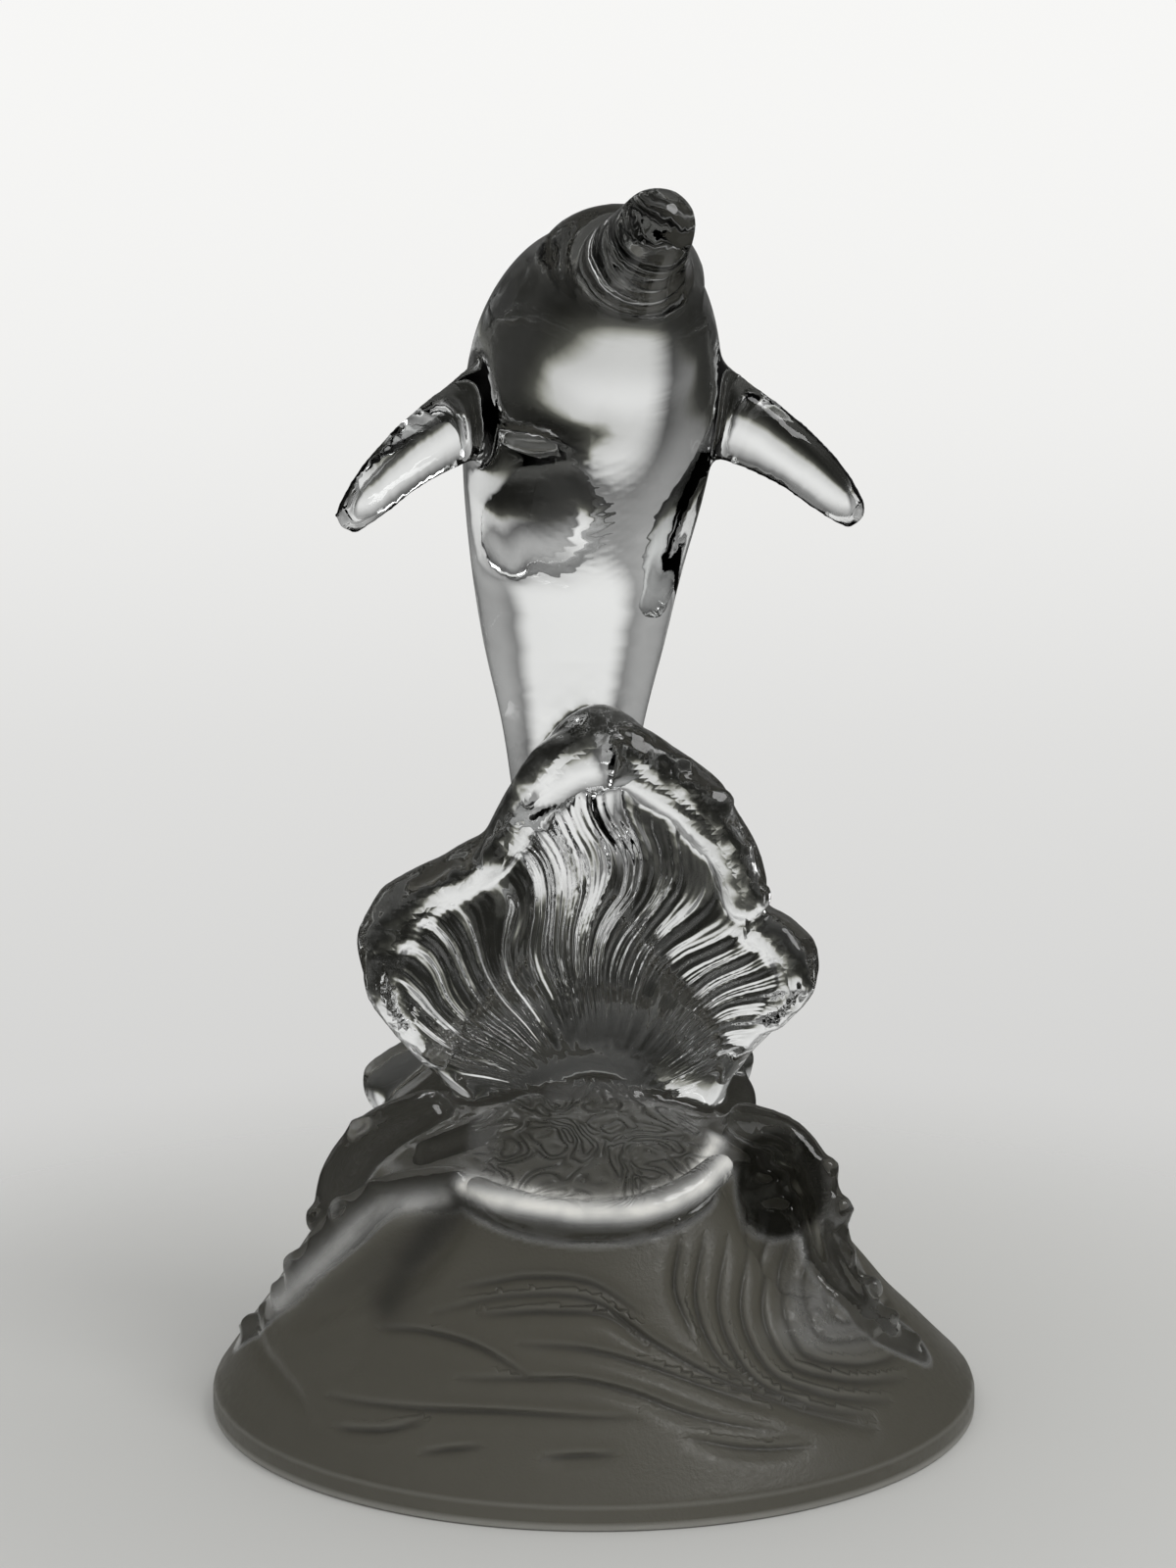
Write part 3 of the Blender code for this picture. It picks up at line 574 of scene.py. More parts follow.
def swept(rows, across, count=40, sides=32, domes=(False, True), turn=0.0):
    """Rings of ellipses (x, y, z, half width, half depth) along a curve, each square to it. `across` is
    the way the width points. An end in `domes` is closed by a dome."""
    rows = flow(rows, count)
    centre = rows[:, :3]
    ahead = unit(np.gradient(centre, axis=0))
    wide = np.array(across, float) - ahead * (ahead @ np.array(across, float))[:, None]
    wide = unit(wide)
    deep = np.cross(ahead, wide)
    angle = np.linspace(0, 2 * math.pi, sides, endpoint=False)

    def ring(k, scale, shift):
        middle = centre[k] + ahead[k] * shift
        sideways = np.outer(np.cos(angle), wide[k]) * rows[k, 3] * scale
        return middle + sideways + np.outer(np.sin(angle), deep[k]) * rows[k, 4] * scale

    rings = [ring(k, 1, 0) for k in range(count)]
    bends = [math.radians(a) for a in (20, 40, 60, 75, 86)]
    for at_end, k in ((False, 0), (True, count - 1)):
        if not domes[at_end]:
            continue
        reach = min(rows[k, 3:5]) * (1 if at_end else -1)
        cap = [ring(k, math.cos(bend), reach * math.sin(bend)) for bend in bends]
        rings = rings + cap if at_end else cap[::-1] + rings
    return turned(np.array(rings), turn)


def tube(rows, count=40):
    """Rings of circles (x, y, z, radius) along a curve, domed at both ends."""
    rows = [(x, y, z, radius, radius) for x, y, z, radius in rows]
    return swept(rows, (0, 0.3, 1), count, 20, (True, True))


def raised(rows, side=1):
    """Rows with a height above the dome's top, moved to their real height, and mirrored where side is -1."""
    return [(side * x, y, DOME_TOP + height, *sizes) for x, y, height, *sizes in rows]


def dolphin_bodies():
    turn = DOLPHIN_TURN
    made = [
        swept(raised(BODY), (1, 0, 0), 60, 48, turn=turn),
        swept(raised(BEAK), (1, 0, 0), 30, 40, turn=turn),
        swept(raised(DORSAL), (0, -0.5, 1), 30, 28, turn=turn),
    ]
    for side in (-1, 1):
        made.append(swept(raised(FLIPPER, side), (0.5 * side, -0.4, 1), 36, 28, turn=turn))
        made.append(swept(raised(FLUKE, side), (0, 0, 1), 30, 28, turn=turn))
    return made


def wave_point(degrees, reach):
    """(x, height above the wave's foot) of a place in the fan."""
    angle = np.radians(degrees)
    return reach * np.sin(angle), reach * np.cos(angle)


def wave_front(x, reach):
    """y of the wave's cupped face."""
    share = np.clip(reach / WAVE_REACH, 0, 1.2)
    bowl = WAVE_BOWL * np.sin(math.pi * np.clip(share, 0, 1))
    return WAVE_FOOT_Y + bowl - WAVE_LIP * share**3 - WAVE_CUP * (x / WING_SPAN) ** 2


def wave_foot_z():
    return DOME_TOP - WAVE_FOOT_SINK


def wave_lobe(outline, count=40, steps=14):
    """A lobe's rings, one per ray: out along the face, round the rim and back behind the wall."""
    outline = np.array(outline, float)
    degrees = np.linspace(outline[0, 0], outline[-1, 0], count)
    rings = []
    for angle in degrees:
        rim = np.interp(angle, outline[:, 0], outline[:, 1])
        out = np.linspace(-ROOT, rim - WALL_AT_RIM / 2, steps)
        wall = np.interp(out, [0, rim], [WALL_AT_FOOT, WALL_AT_RIM])
        x, height = wave_point(angle, out)
        front = wave_front(x, np.maximum(out, 0))
        face = np.stack([x, front, height], axis=1)
        back = np.stack([x, front + wall, height], axis=1)[::-1]
        bend = np.radians(np.linspace(-70, 70, 7))
        half = wall[-1] / 2
        end = out[-1] + half * np.cos(bend)
        x, height = wave_point(angle, end)
        round_rim = np.stack([x, front[-1] + half + half * np.sin(bend), height], axis=1)
        rings.append(np.concatenate([face, round_rim, back]) + [0, 0, wave_foot_z()])
    return np.array(rings)


def rolled(rows, proud):
    """A lip along a lobe. It stands well out from the face where proud is 1, and barely where it is 0."""
    made = []
    for degrees, reach, radius in rows:
        x, height = wave_point(degrees, reach)
        y = float(wave_front(x, reach)) + radius * ROLL_SINK[proud] - ROLL_FORWARD * proud
        made.append((float(x), y, wave_foot_z() + float(height), radius))
    return made


def wave_bodies():
    made = [wave_lobe(outline) for outline in (CREST, LEFT_WING, RIGHT_WING)]
    made += [tube(rolled(CREST_ROLL, 1)), tube(rolled(LEFT_ROLL, 0)), tube(rolled(RIGHT_ROLL, 0))]
    made.append(swept(raised(WEB), (1, 0, 0), 40, 36, (True, True)))
    return made + drops(rolled(CREST_ROLL[4:], 1), 1)


def dome_height(x, y):
    share = np.hypot(x / (BASE_WIDTH / 2), y / (BASE_DEPTH / 2))
    right = np.clip(x / (BASE_WIDTH / 2), 0, None) / np.maximum(share, 1e-6)
    share = share + RIGHT_WAIST / (BASE_WIDTH / 2) * np.sin(math.pi * share) * right**2
    profile = np.array(DOME)
    height = np.interp((1 - share) * BASE_WIDTH / 2, profile[:, 0], profile[:, 1])
    hollow_x, hollow_y, half_width, depth = HOLLOW
    away = np.hypot(x - hollow_x, y - hollow_y)
    return np.maximum(height - depth * np.exp(-((away / half_width) ** 2)), RIM_HEIGHT)


def base_body(sides=144, steps=60):
    """The oval base from below the cut, up the rim band and over the dome."""
    angle = np.linspace(0, 2 * math.pi, sides, endpoint=False)
    edge = np.stack([np.cos(angle) * BASE_WIDTH / 2, np.sin(angle) * BASE_DEPTH / 2], axis=1)
    rings = [np.column_stack([edge, np.full(sides, z)]) for z in (-SPARE, 0, RIM_HEIGHT / 2, RIM_HEIGHT)]
    for share in np.linspace(0.99, 0.01, steps):
        plan = edge * share
        rings.append(np.column_stack([plan, dome_height(plan[:, 0], plan[:, 1])]))
    return np.array(rings)


def drops(rows, side):
    """Small balls beside a crest, on its outer side."""
    rows = np.array(rows, float)
    length = np.linalg.norm(np.diff(rows[:, :3], axis=0), axis=1).sum()
    count = max(2, int(length / DROP_SPACING))
    made = []
    for k, (x, y, z, radius) in enumerate(flow(rows, count)):
        size = DROP_RADIUS * (0.85 + 0.3 * math.sin(2.4 * k))
        place = (x + side * radius * 0.7, y - radius * 0.3, z + radius * 0.35)
        made.append(tube([(*place, size), (place[0], place[1], place[2] + size * 0.2, size)], 3))
    return made


def base_bodies():
    made = [base_body()]
    crests = (POOL_LIP, LEFT_CURL, LEFT_CREST, RIGHT_CURL, RIGHT_BANK, FOOT_DRAPE)
    made += [tube(rows) for rows in crests]
    made.append(swept(MOUND, (0, 1, 0), 40, 36, (True, True)))
    return made + drops(LEFT_CREST[1:], -1) + drops(RIGHT_CURL[2:], 1) + drops(LEFT_CURL, -1)


def modified(mesh, add_modifiers):
    """A copy of a mesh after the modifiers that add_modifiers puts on an object that holds it."""
    obj = bpy.data.objects.new("stage", mesh)
    bpy.context.scene.collection.objects.link(obj)
    add_modifiers(obj)
    bpy.context.view_layer.update()
    made = bpy.data.meshes.new_from_object(obj.evaluated_get(bpy.context.evaluated_depsgraph_get()))
    bpy.data.objects.remove(obj, do_unlink=True)
    bpy.data.meshes.remove(mesh)
    return made


def nearest(points, path):
    """How far points are from a smooth curve through a path, on which side, and how its ends fade it."""
    path = flow(path, 8 * len(path)) if len(path) > 2 else np.array(path, float)
    best, place, side = np.full(len(points), np.inf), np.zeros(len(points)), np.zeros(len(points))
    for k, (start, end) in enumerate(zip(path, path[1:])):
        along = end - start
        t = np.clip((points - start) @ along / (along @ along), 0, 1)
        offset = points - start - t[:, None] * along
        away = np.linalg.norm(offset, axis=1)
        nearer = away < best
        best[nearer], place[nearer] = away[nearer], (k + t[nearer]) / (len(path) - 1)
        side[nearer] = np.sign(along[0] * offset[nearer, 1] - along[1] * offset[nearer, 0])
    return best, side, np.sqrt(np.sin(math.pi * np.clip(place, 0.02, 0.98)))


def line_cut(points, path, cut):
    """How far a soft line along a smooth curve through the path sinks each point. Its ends fade out."""
    depth, half_width = cut
    away, _, fade = nearest(points, path)
    return -depth * np.exp(-((away / half_width) ** 2)) * fade


def rim_reach(degrees):
    """How far the fan reaches along each ray."""
    lobes = [np.array(outline, float) for outline in (CREST, LEFT_WING, RIGHT_WING)]
    return np.max([np.interp(degrees, lobe[:, 0], lobe[:, 1], left=0, right=0) for lobe in lobes], axis=0)


def on_fan(points):
    """Reach, angle and height on the fan, how far it is to the rim, and how far behind the face."""
    x, y, height = points[:, 0], points[:, 1], points[:, 2] - wave_foot_z()
    reach, angle = np.hypot(x, height), np.arctan2(x, height)
    return reach, angle, height, rim_reach(np.degrees(angle)) - reach, y - wave_front(x, reach)


def flute_place(reach, angle):
    """Which flute a place is on, as an angle that grows by a turn from flute to flute."""
    wander = sum(share * np.sin(count * reach + shift) for share, count, shift in FLUTE_SWAY)
    wander = wander + sum(share * np.sin(count * angle + shift) for share, count, shift in FLUTE_DRIFT)
    return (angle + wander) * FLUTE_COUNT


def flutes(points):
    """Uneven ridges that fan out over the wave's face."""
    reach, angle, height, left, behind = on_fan(points)
    on_face = np.exp(-((behind / FLUTE_BAND) ** 2)) * (height > -0.001)
    fade = np.clip((reach - FLUTE_START) / FLUTE_FADE, 0, 1)
    fade = fade * np.clip((left - FLUTE_MARGIN) / FLUTE_FADE, 0, 1)
    fade = fade * np.clip(reach / FLUTE_FULL, FLUTE_LEAST, 1)
    place = flute_place(reach, angle)
    uneven = 1 - FLUTE_UNEVEN * (1 - np.sin(FLUTE_BEAT * place + reach / FLUTE_BEAT_LENGTH))
    return -FLUTE_DEPTH * on_face * fade * uneven * (np.cos(place) + 0.2 * np.cos(2 * place))


def base_carving(points):
    """The base's grooves and folds, drawn on what faces the front."""
    start, full = BASE_FRONT
    front = np.clip((-points[:, 1] - start) / (full - start), 0, 1)
    drawn = points[:, [0, 2]]
    amount = sum(line_cut(drawn, path, GROOVE) for path in SWIRLS)
    return (amount + sum(line_cut(drawn, path, cut) for cut, path in FOLDS)) * front


def dolphin_carving(points):
    """Lines on both halves of the dolphin, and its eyes."""
    own = turned(points, -DOLPHIN_TURN)
    own = np.stack([np.abs(own[:, 0]), own[:, 1], own[:, 2] - DOME_TOP], axis=1)
    front = np.clip((LINES_BEHIND - own[:, 1]) / LINES_FADE, 0, 1) * (own[:, 2] > LINES_ABOVE)
    amount = sum(line_cut(own[:, [0, 2]], path, CREASE) for path in (MOUTH, CHEEK, BELLY)) * front
    eye = np.linalg.norm(own - np.array(EYE), axis=1)
    return amount + EYE_RAISE * np.exp(-((eye / EYE_RADIUS) ** 2))


def carve(mesh):
    count = len(mesh.vertices)
    points, normals = np.empty(count * 3, np.float32), np.empty(count * 3, np.float32)
    mesh.vertices.foreach_get("co", points)
    mesh.vertices.foreach_get("normal", normals)
    points, normals = points.reshape(-1, 3).astype(float), normals.reshape(-1, 3)
    amount = flutes(points) + base_carving(points) + dolphin_carving(points)
    points += normals * amount[:, None]
    mesh.vertices.foreach_set("co", points.astype(np.float32).ravel())
    mesh.update()


def flat_bottom(mesh):
    """Cuts off what lies below the ground and closes the cut with one flat face."""
    bm = bmesh.new()
    bm.from_mesh(mesh)
    for vertex in bm.verts:
        if abs(vertex.co.z) < SNAP:
            vertex.co.z = 0
    everything = bm.verts[:] + bm.edges[:] + bm.faces[:]
    bmesh.ops.bisect_plane(
        bm, geom=everything, dist=1e-7, plane_co=(0, 0, 0), plane_no=(0, 0, 1), clear_inner=True
    )
    bmesh.ops.holes_fill(bm, edges=[edge for edge in bm.edges if edge.is_boundary], sides=0)
    bmesh.ops.triangulate(bm, faces=bm.faces[:])
    bm.to_mesh(mesh)
    bm.free()
    return mesh


def points_of(mesh):
    points = np.empty(len(mesh.vertices) * 3, np.float32)
    mesh.vertices.foreach_get("co", points)
    return points.reshape(-1, 3).astype(float)


def rise(value, start, width):
    """0 up to start, 1 from width beyond it."""
    return np.clip((value - start) / width, 0, 1)


def step(value, width):
    """0 below 0 and 1 above it, over a width."""
    return np.clip(value / width + 0.5, 0, 1)


def fine_skin(bodies):
    """One closed skin round all the lofts."""
    bm = bmesh.new()
    for rings in bodies:
        loft(bm, rings)
    mesh = bpy.data.meshes.new("lofts")
    bm.to_mesh(mesh)
    bm.free()

    def add_modifiers(obj):
        remesh = obj.modifiers.new("skin", "REMESH")
        remesh.mode = "VOXEL"
        remesh.voxel_size = FINE_VOXEL
        smooth = obj.modifiers.new("smooth", "SMOOTH")
        smooth.factor = 0.5
        smooth.iterations = FINE_SMOOTHING

    return modified(mesh, add_modifiers)


def on_dolphin(points):
    """1 on the dolphin's free part, 0 on the wave and the base."""
    return rise(points[:, 2], DOME_TOP + FREE_ABOVE, FREE_FADE)


def mean_of_linked(values, a, b, linked):
    """For each point, the mean of a value over the points that an edge links it to."""
    count = len(values)
    sums = [
        np.bincount(a, values[b, axis], count) + np.bincount(b, values[a, axis], count) for axis in range(3)
    ]
    return np.stack(sums, axis=1) / linked[:, None]


def evened(mesh, rounds, amount=1.0):
    """Takes out the remesh's fine steps without thinning the forms: each round shrinks and swells back."""
    points = points_of(mesh)
    edges = np.empty(len(mesh.edges) * 2, np.int32)
    mesh.edges.foreach_get("vertices", edges)
    a, b = edges.reshape(-1, 2).T
    linked = np.bincount(a, minlength=len(points)) + np.bincount(b, minlength=len(points))
    for _ in range(rounds):
        for share in EVEN_SHARES:
            points += share * amount * (mean_of_linked(points, a, b, linked) - points)
    mesh.vertices.foreach_set("co", points.astype(np.float32).ravel())
    mesh.update()


def calm_shading(mesh):
    """Evens the shading's normals on the dolphin, and keeps the bottom flat."""
    points = points_of(mesh)
    count = len(points)
    corners = np.empty(len(mesh.polygons) * 3, np.int32)
    mesh.loops.foreach_get("vertex_index", corners)
    corners = corners.reshape(-1, 3)
    a, b, c = (points[corners[:, k]] for k in range(3))
    facing = np.cross(b - a, c - a)
    under = (np.max(points[corners][:, :, 2], axis=1) < 1e-6) & (facing[:, 2] < 0)
    skin = corners[~under]
    normals = np.zeros((count, 3))
    for k in range(3):
        for axis in range(3):
            normals[:, axis] += np.bincount(skin[:, k], facing[~under][:, axis], count)
    normals = unit(normals + 1e-20)
    start, end = skin.ravel(), skin[:, [1, 2, 0]].ravel()
    linked = np.maximum(np.bincount(start, minlength=count) + np.bincount(end, minlength=count), 1)
    share = CALM_SHARE * on_dolphin(points)[:, None]
    for _ in range(CALM_ROUNDS):
        normals = unit(normals + share * (mean_of_linked(normals, start, end, linked) - normals))
    shown = normals[corners]
    shown[under] = (0, 0, -1)
    mesh.normals_split_custom_set(shown.reshape(-1, 3))


def pool_of(points):
    """1 on the pool before the wave's foot."""
    x, y, z = points.T
    middle_x, middle_y, half_width = POOL
    inside = step(half_width - np.hypot(x - middle_x, (y - middle_y) * POOL_SQUEEZE), POOL_EDGE)
    return inside * rise(z, *POOL_FLOOR) * rise(-z, -POOL_CEILING[0], POOL_CEILING[1])


def hollow_of(points):
    """1 in the hollow under the right curl, where the glass is left clear and painted dark as shade."""
    x, y, z = points.T
    middle_x, middle_z, half_width, half_height = HOLLOW_SEEN
    away = np.hypot((x - middle_x) / half_width, (z - middle_z) / half_height)
    return step(1.0 - away, HOLLOW_EDGE) * rise(-y, *HOLLOW_BEFORE)


def foam_of(points):
    """1 on the foam in front of the right curl."""
    near = np.max([-line_cut(points[:, [0, 2]], path, (1.0, FOAM_WIDTH)) for path in FOAM], axis=0)
    return np.clip(near, 0, 1) * (points[:, 1] < -DRAWN_BEFORE[0])


def frost_of(points):
    """How frosted each point of the base is, from 0 to 1."""
    z = points[:, 2]
    satin = step(SATIN_TOP - z, np.where(points[:, 1] > 0, SATIN_EDGE[1], SATIN_EDGE[0]))
    clear = np.zeros(len(points))
    for rows, reach in CLEAR_CRESTS:
        path = flow(rows, 24)[:, :3]
        away = np.min(np.linalg.norm(points[:, None, :] - path[None, :, :], axis=2), axis=1)
        clear = np.maximum(clear, step(reach - away, CLEAR_EDGE))
    frost = np.maximum(satin, POOL_FROST * pool_of(points)) * (1 - clear)
    return frost * (1 - hollow_of(points)) * (1 - FOAM_FROST * foam_of(points))


def line_field(points):
    """How far each point of the base's front is to one side of the nearest groove, and how strong that is."""
    side, strength = np.ones(len(points)), np.zeros(len(points))
    front = np.nonzero((points[:, 1] < -BASE_FRONT[0]) & (points[:, 2] < DOME_TOP))[0]
    drawn = points[front][:, [0, 2]]
    best = np.ones(len(drawn))
    for path in SWIRLS:
        away, turn, fade = nearest(drawn, path)
        nearer = away < best
        best[nearer] = away[nearer]
        side[front[nearer]] = (turn * away)[nearer]
        strength[front[nearer]] = fade[nearer]
    strength[front] *= np.clip(LINE_FULL - best / LINE_REACH, 0, 1)
    return side, strength


def near_paths(points, paths):
    """How strong each point is on the paths drawn on the base's front."""
    drawn = points[:, [0, 2]]
    near = np.zeros(len(points))
    for rows, half_width, amount in paths:
        path = flow(rows, 12 * len(rows))
        away = np.min(np.linalg.norm(drawn[:, None, :] - path[None, :, :], axis=2), axis=1)
        near = np.maximum(near, amount * np.exp(-((away / half_width) ** 2)))
    return near * rise(-points[:, 1], *DRAWN_BEFORE)


def flute_field(points):
    """Which flute each point of the wave's face is on, as an angle, and how strong its streaks are."""
    reach, angle, height, left, behind = on_fan(points)
    on_face = np.exp(-((behind / FLUTE_BAND) ** 2)) * (height > 0)
    fade = rise(reach, STREAKS_FROM, STREAKS_FROM) * np.clip((left - FLUTE_MARGIN) / FLUTE_FADE, 0, 1)
    return flute_place(reach, angle), on_face * fade


def crests_of(points):
    """1 on the wave's crests and wings, 0 on its fluted face and elsewhere."""
    _, _, height, left, behind = on_fan(points)
    past = rise(FLUTE_MARGIN - left, 0, CRESTS_EDGE)
    near = np.exp(-(((behind - CRESTS_BEHIND) / CRESTS_BAND) ** 2))
    return past * near * (height > CRESTS_ABOVE) * (1 - on_dolphin(points))


def add_marks(mesh):
    """Keeps on the mesh where each finish, painted shade and painted highlight lies, for the material."""
    points = points_of(mesh)
    marks = {"frost": frost_of(points), "pool": pool_of(points), "hollow": hollow_of(points)}
    marks["foam"], marks["crests"] = foam_of(points), crests_of(points)
    marks["painted_highlight"], marks["painted_shade"] = near_paths(points, PAINTED_HIGHLIGHT_PATHS), near_paths(points, PAINTED_SHADE_PATHS)
    marks["line_side"], line_near = line_field(points)
    marks["line_near"] = line_near * marks["frost"]
    marks["flute_place"], marks["flute_on"] = flute_field(points)
    for name, value in marks.items():
        mark = mesh.attributes.new(name, "FLOAT", "POINT")
        mark.data.foreach_set("value", value.astype(np.float32))


class Nodes:
    """Adds nodes to a tree. A value is a number, a colour or the output of another node."""

    def __init__(self, owner):
        owner.use_nodes = True
        self.tree = owner.node_tree

    def put(self, socket, value):
        if isinstance(value, bpy.types.NodeSocket):
            self.tree.links.new(value, socket)
        else:
            socket.default_value = value

    def add(self, kind, values=None, **settings):
        node = self.tree.nodes.new("ShaderNode" + kind)
        for name, value in settings.items():
            setattr(node, name, value)
        for name, value in (values or {}).items():
            self.put(node.inputs[name], value)
        return node

    def look(self, values):
        """Sets what the material's shader shows."""
        shader = self.tree.nodes["Principled BSDF"]
        for name, value in values.items():
            self.put(shader.inputs[name], value)

    def maths(self, operation, *values):
        return self.add("Math", dict(enumerate(values)), operation=operation).outputs["Value"]

    def times(self, a, b):
        return self.maths("MULTIPLY", a, b)

    def bell(self, value):
        """1 at 0, falling off like a bell to both sides."""
        return self.maths("EXPONENT", self.times(self.times(value, value), -1.0))

    def mapped(self, value, limits, kind="LINEAR"):
        names = ("From Min", "From Max", "To Min", "To Max")
        node = self.add("MapRange", dict(zip(names, limits)), interpolation_type=kind)
        self.put(node.inputs["Value"], value)
        return node.outputs["Result"]

    def blend(self, factor, a, b):
        values = {"Factor": factor, "A": a, "B": b}
        return self.add("Mix", values, data_type="RGBA").outputs["Result"]

    def mark(self, name):
        return self.add("Attribute", attribute_name=name).outputs["Fac"]

    def place(self, kind):
        return self.add("TexCoord").outputs[kind]

    def noise(self, look):
        scale, detail, rough, distortion = look
        values = {"Scale": scale, "Detail": detail, "Roughness": rough, "Distortion": distortion}
        return self.add("TexNoise", {**values, "Vector": self.place("Object")}).outputs["Fac"]

    def bump(self, height, look, under=None, strength=None):
        values = {"Height": height, "Strength": look[0], "Distance": look[1]}
        if strength is not None:
            values["Strength"] = strength
        if under is not None:
            values["Normal"] = under
        return self.add("Bump", values).outputs["Normal"]

    def ramp(self, value, stops, low_tint):
        node = self.add("ValToRGB", {"Fac": value})
        node.color_ramp.interpolation = "B_SPLINE"
        while len(node.color_ramp.elements) < len(stops):
            node.color_ramp.elements.new(0.5)
        for element, (at, tone) in zip(node.color_ramp.elements, stops):
            element.position = at
            blue = low_tint if at < LOW_BELOW else HIGH_TINT
            element.color = (tone, tone * GREEN_TINT, tone * blue, 1)
        return node.outputs["Color"]

    def background(self, colour, strength):
        return self.add("Background", {"Color": colour, "Strength": strength}).outputs["Background"]

    def either(self, factor, a, b):
        return self.add("MixShader", {0: factor, 1: a, 2: b}).outputs[0]


def swirl_colours(nodes, line, beside):
    """Satin glass with painted shade in its grooves and painted highlights on the ridges beside them."""
    ridge = nodes.times(nodes.times(nodes.bell(beside), nodes.mark("line_near")), RIDGE_HIGHLIGHT_SHARE)
    shown = nodes.blend(nodes.mark("frost"), CLEAR_COLOUR, FROST_COLOUR)
    # Painted shade in the grooves
    shown = nodes.blend(nodes.times(line, GROOVE_SHADE_SHARE), shown, PAINTED_SHADE_COLOUR)
    # Painted highlight on the ridges beside the grooves
    return nodes.blend(ridge, shown, RIDGE_HIGHLIGHT_COLOUR)


def pool_eddies(nodes):
    """Winding lines, strongest in their middle."""
    eddy = nodes.maths("ABSOLUTE", nodes.maths("SINE", nodes.times(nodes.noise(EDDIES), EDDY_TURNS)))
    return nodes.times(nodes.mapped(eddy, (0.0, 1.0, 1.0, 0.0)), nodes.mark("pool"))


def painted_highlights(nodes):
    """Painted highlights: on the ridges that catch the light, the foot's thin bright edge and the line on the
    rim's shoulder.
    """
    height = nodes.add("SeparateXYZ", {"Vector": nodes.place("Object")}).outputs["Z"]
    bright = nodes.times(nodes.mark("painted_highlight"), nodes.mapped(nodes.noise(UNEVEN), UNEVEN_RANGE))
    edge = nodes.times(nodes.mapped(height, (*FOOT_EDGE, FOOT_HIGHLIGHT_SHARE, 0.0)), nodes.mark("frost"))
    off = nodes.maths("ABSOLUTE", nodes.maths("SUBTRACT", height, RIM_HEIGHT))
    shoulder = nodes.times(nodes.mapped(off, (0.0, SHOULDER_WIDTH, SHOULDER_HIGHLIGHT_SHARE, 0.0)), nodes.mark("frost"))
    return nodes.maths("MAXIMUM", nodes.maths("MAXIMUM", bright, edge), shoulder)


def streaks(nodes):
    """Fine wavering streaks along the flutes."""
    waver = nodes.times(nodes.noise(WAVER), WAVER_REACH)
    total = 0.0
    for turns, share, strength in STREAKS:
        place = nodes.times(nodes.mark("flute_place"), turns)
        wave = nodes.maths("SINE", nodes.maths("ADD", place, nodes.times(waver, share)))
        total = nodes.maths("ADD", nodes.times(wave, strength), total)
    return nodes.times(total, nodes.mark("flute_on"))


def foam(nodes):
    """Small round bubbles on the foam."""
    values = {"Scale": BUBBLES, "Vector": nodes.place("Object")}
    away = nodes.add("TexVoronoi", values, feature="SMOOTH_F1").outputs["Distance"]
    return nodes.times(nodes.maths("SUBTRACT", 1.0, away), nodes.mark("foam"))


def glass_bumps(nodes, line, eddy):
    """The cast glass's ripple, the satin's tooth, grooves, streaks, the crests' skin, eddies and bubbles."""
    normal = nodes.bump(nodes.noise(RIPPLE), RIPPLE_BUMP)
    strength = nodes.times(nodes.mark("frost"), TOOTH_BUMP[0])
    normal = nodes.bump(nodes.noise(TOOTH), TOOTH_BUMP, normal, strength)
    normal = nodes.bump(nodes.times(line, -1.0), GROOVE_BUMP, normal)
    normal = nodes.bump(streaks(nodes), STREAK_BUMP, normal)
    normal = nodes.bump(nodes.times(nodes.noise(UNEVEN), nodes.mark("crests")), CREST_BUMP, normal)
    normal = nodes.bump(nodes.times(eddy, -1.0), EDDY_BUMP, normal)
    return nodes.bump(foam(nodes), FOAM_BUMP, normal)


def glass_material():
    """Clear glass, satin on the base, with a colour and a relief for each mark on the mesh. Some of the
    colours are painted shade in the grooves, the hollow and a valley, and painted highlights on ridges and
    bright edges.
    """
    material = bpy.data.materials.new("crystal_glass_look")
    nodes = Nodes(material)
    away = nodes.maths("DIVIDE", nodes.mark("line_side"), LINE_WIDTH)
    line = nodes.times(nodes.bell(away), nodes.mark("line_near"))
    eddy, bright = pool_eddies(nodes), painted_highlights(nodes)
    shown = swirl_colours(nodes, line, nodes.maths("SUBTRACT", away, RIDGE_BESIDE))
    # Painted shade in the hollow
    shown = nodes.blend(nodes.mark("hollow"), shown, HOLLOW_SHADE_COLOUR)
    shown = nodes.blend(nodes.times(nodes.mark("pool"), POOL_SHARE), shown, POOL_COLOUR)
    shown = nodes.blend(nodes.times(eddy, EDDY_SHARE), shown, EDDY_COLOUR)
    # Painted shade along the valley
    shown = nodes.blend(nodes.times(nodes.mark("painted_shade"), SHADE_SHARE), shown, PAINTED_SHADE_COLOUR)
    # Painted highlights on the bright lines and edges
    shown = nodes.blend(bright, shown, PAINTED_HIGHLIGHT_COLOUR)
    scatter = nodes.times(nodes.mark("frost"), FROST_SCATTER)
    scatter = nodes.maths("MAXIMUM", scatter, nodes.times(bright, HIGHLIGHT_SCATTER))
    nodes.look({
        "Base Color": shown,
        "IOR": GLASS_INDEX,
        "Specular IOR Level": 0.5,
        "Transmission Weight": nodes.maths("SUBTRACT", 1.0, scatter),
        "Roughness": nodes.times(nodes.mark("frost"), nodes.mapped(nodes.noise(GRAIN), GRAIN_RANGE)),
        "Normal": glass_bumps(nodes, line, eddy),
    })
    return material


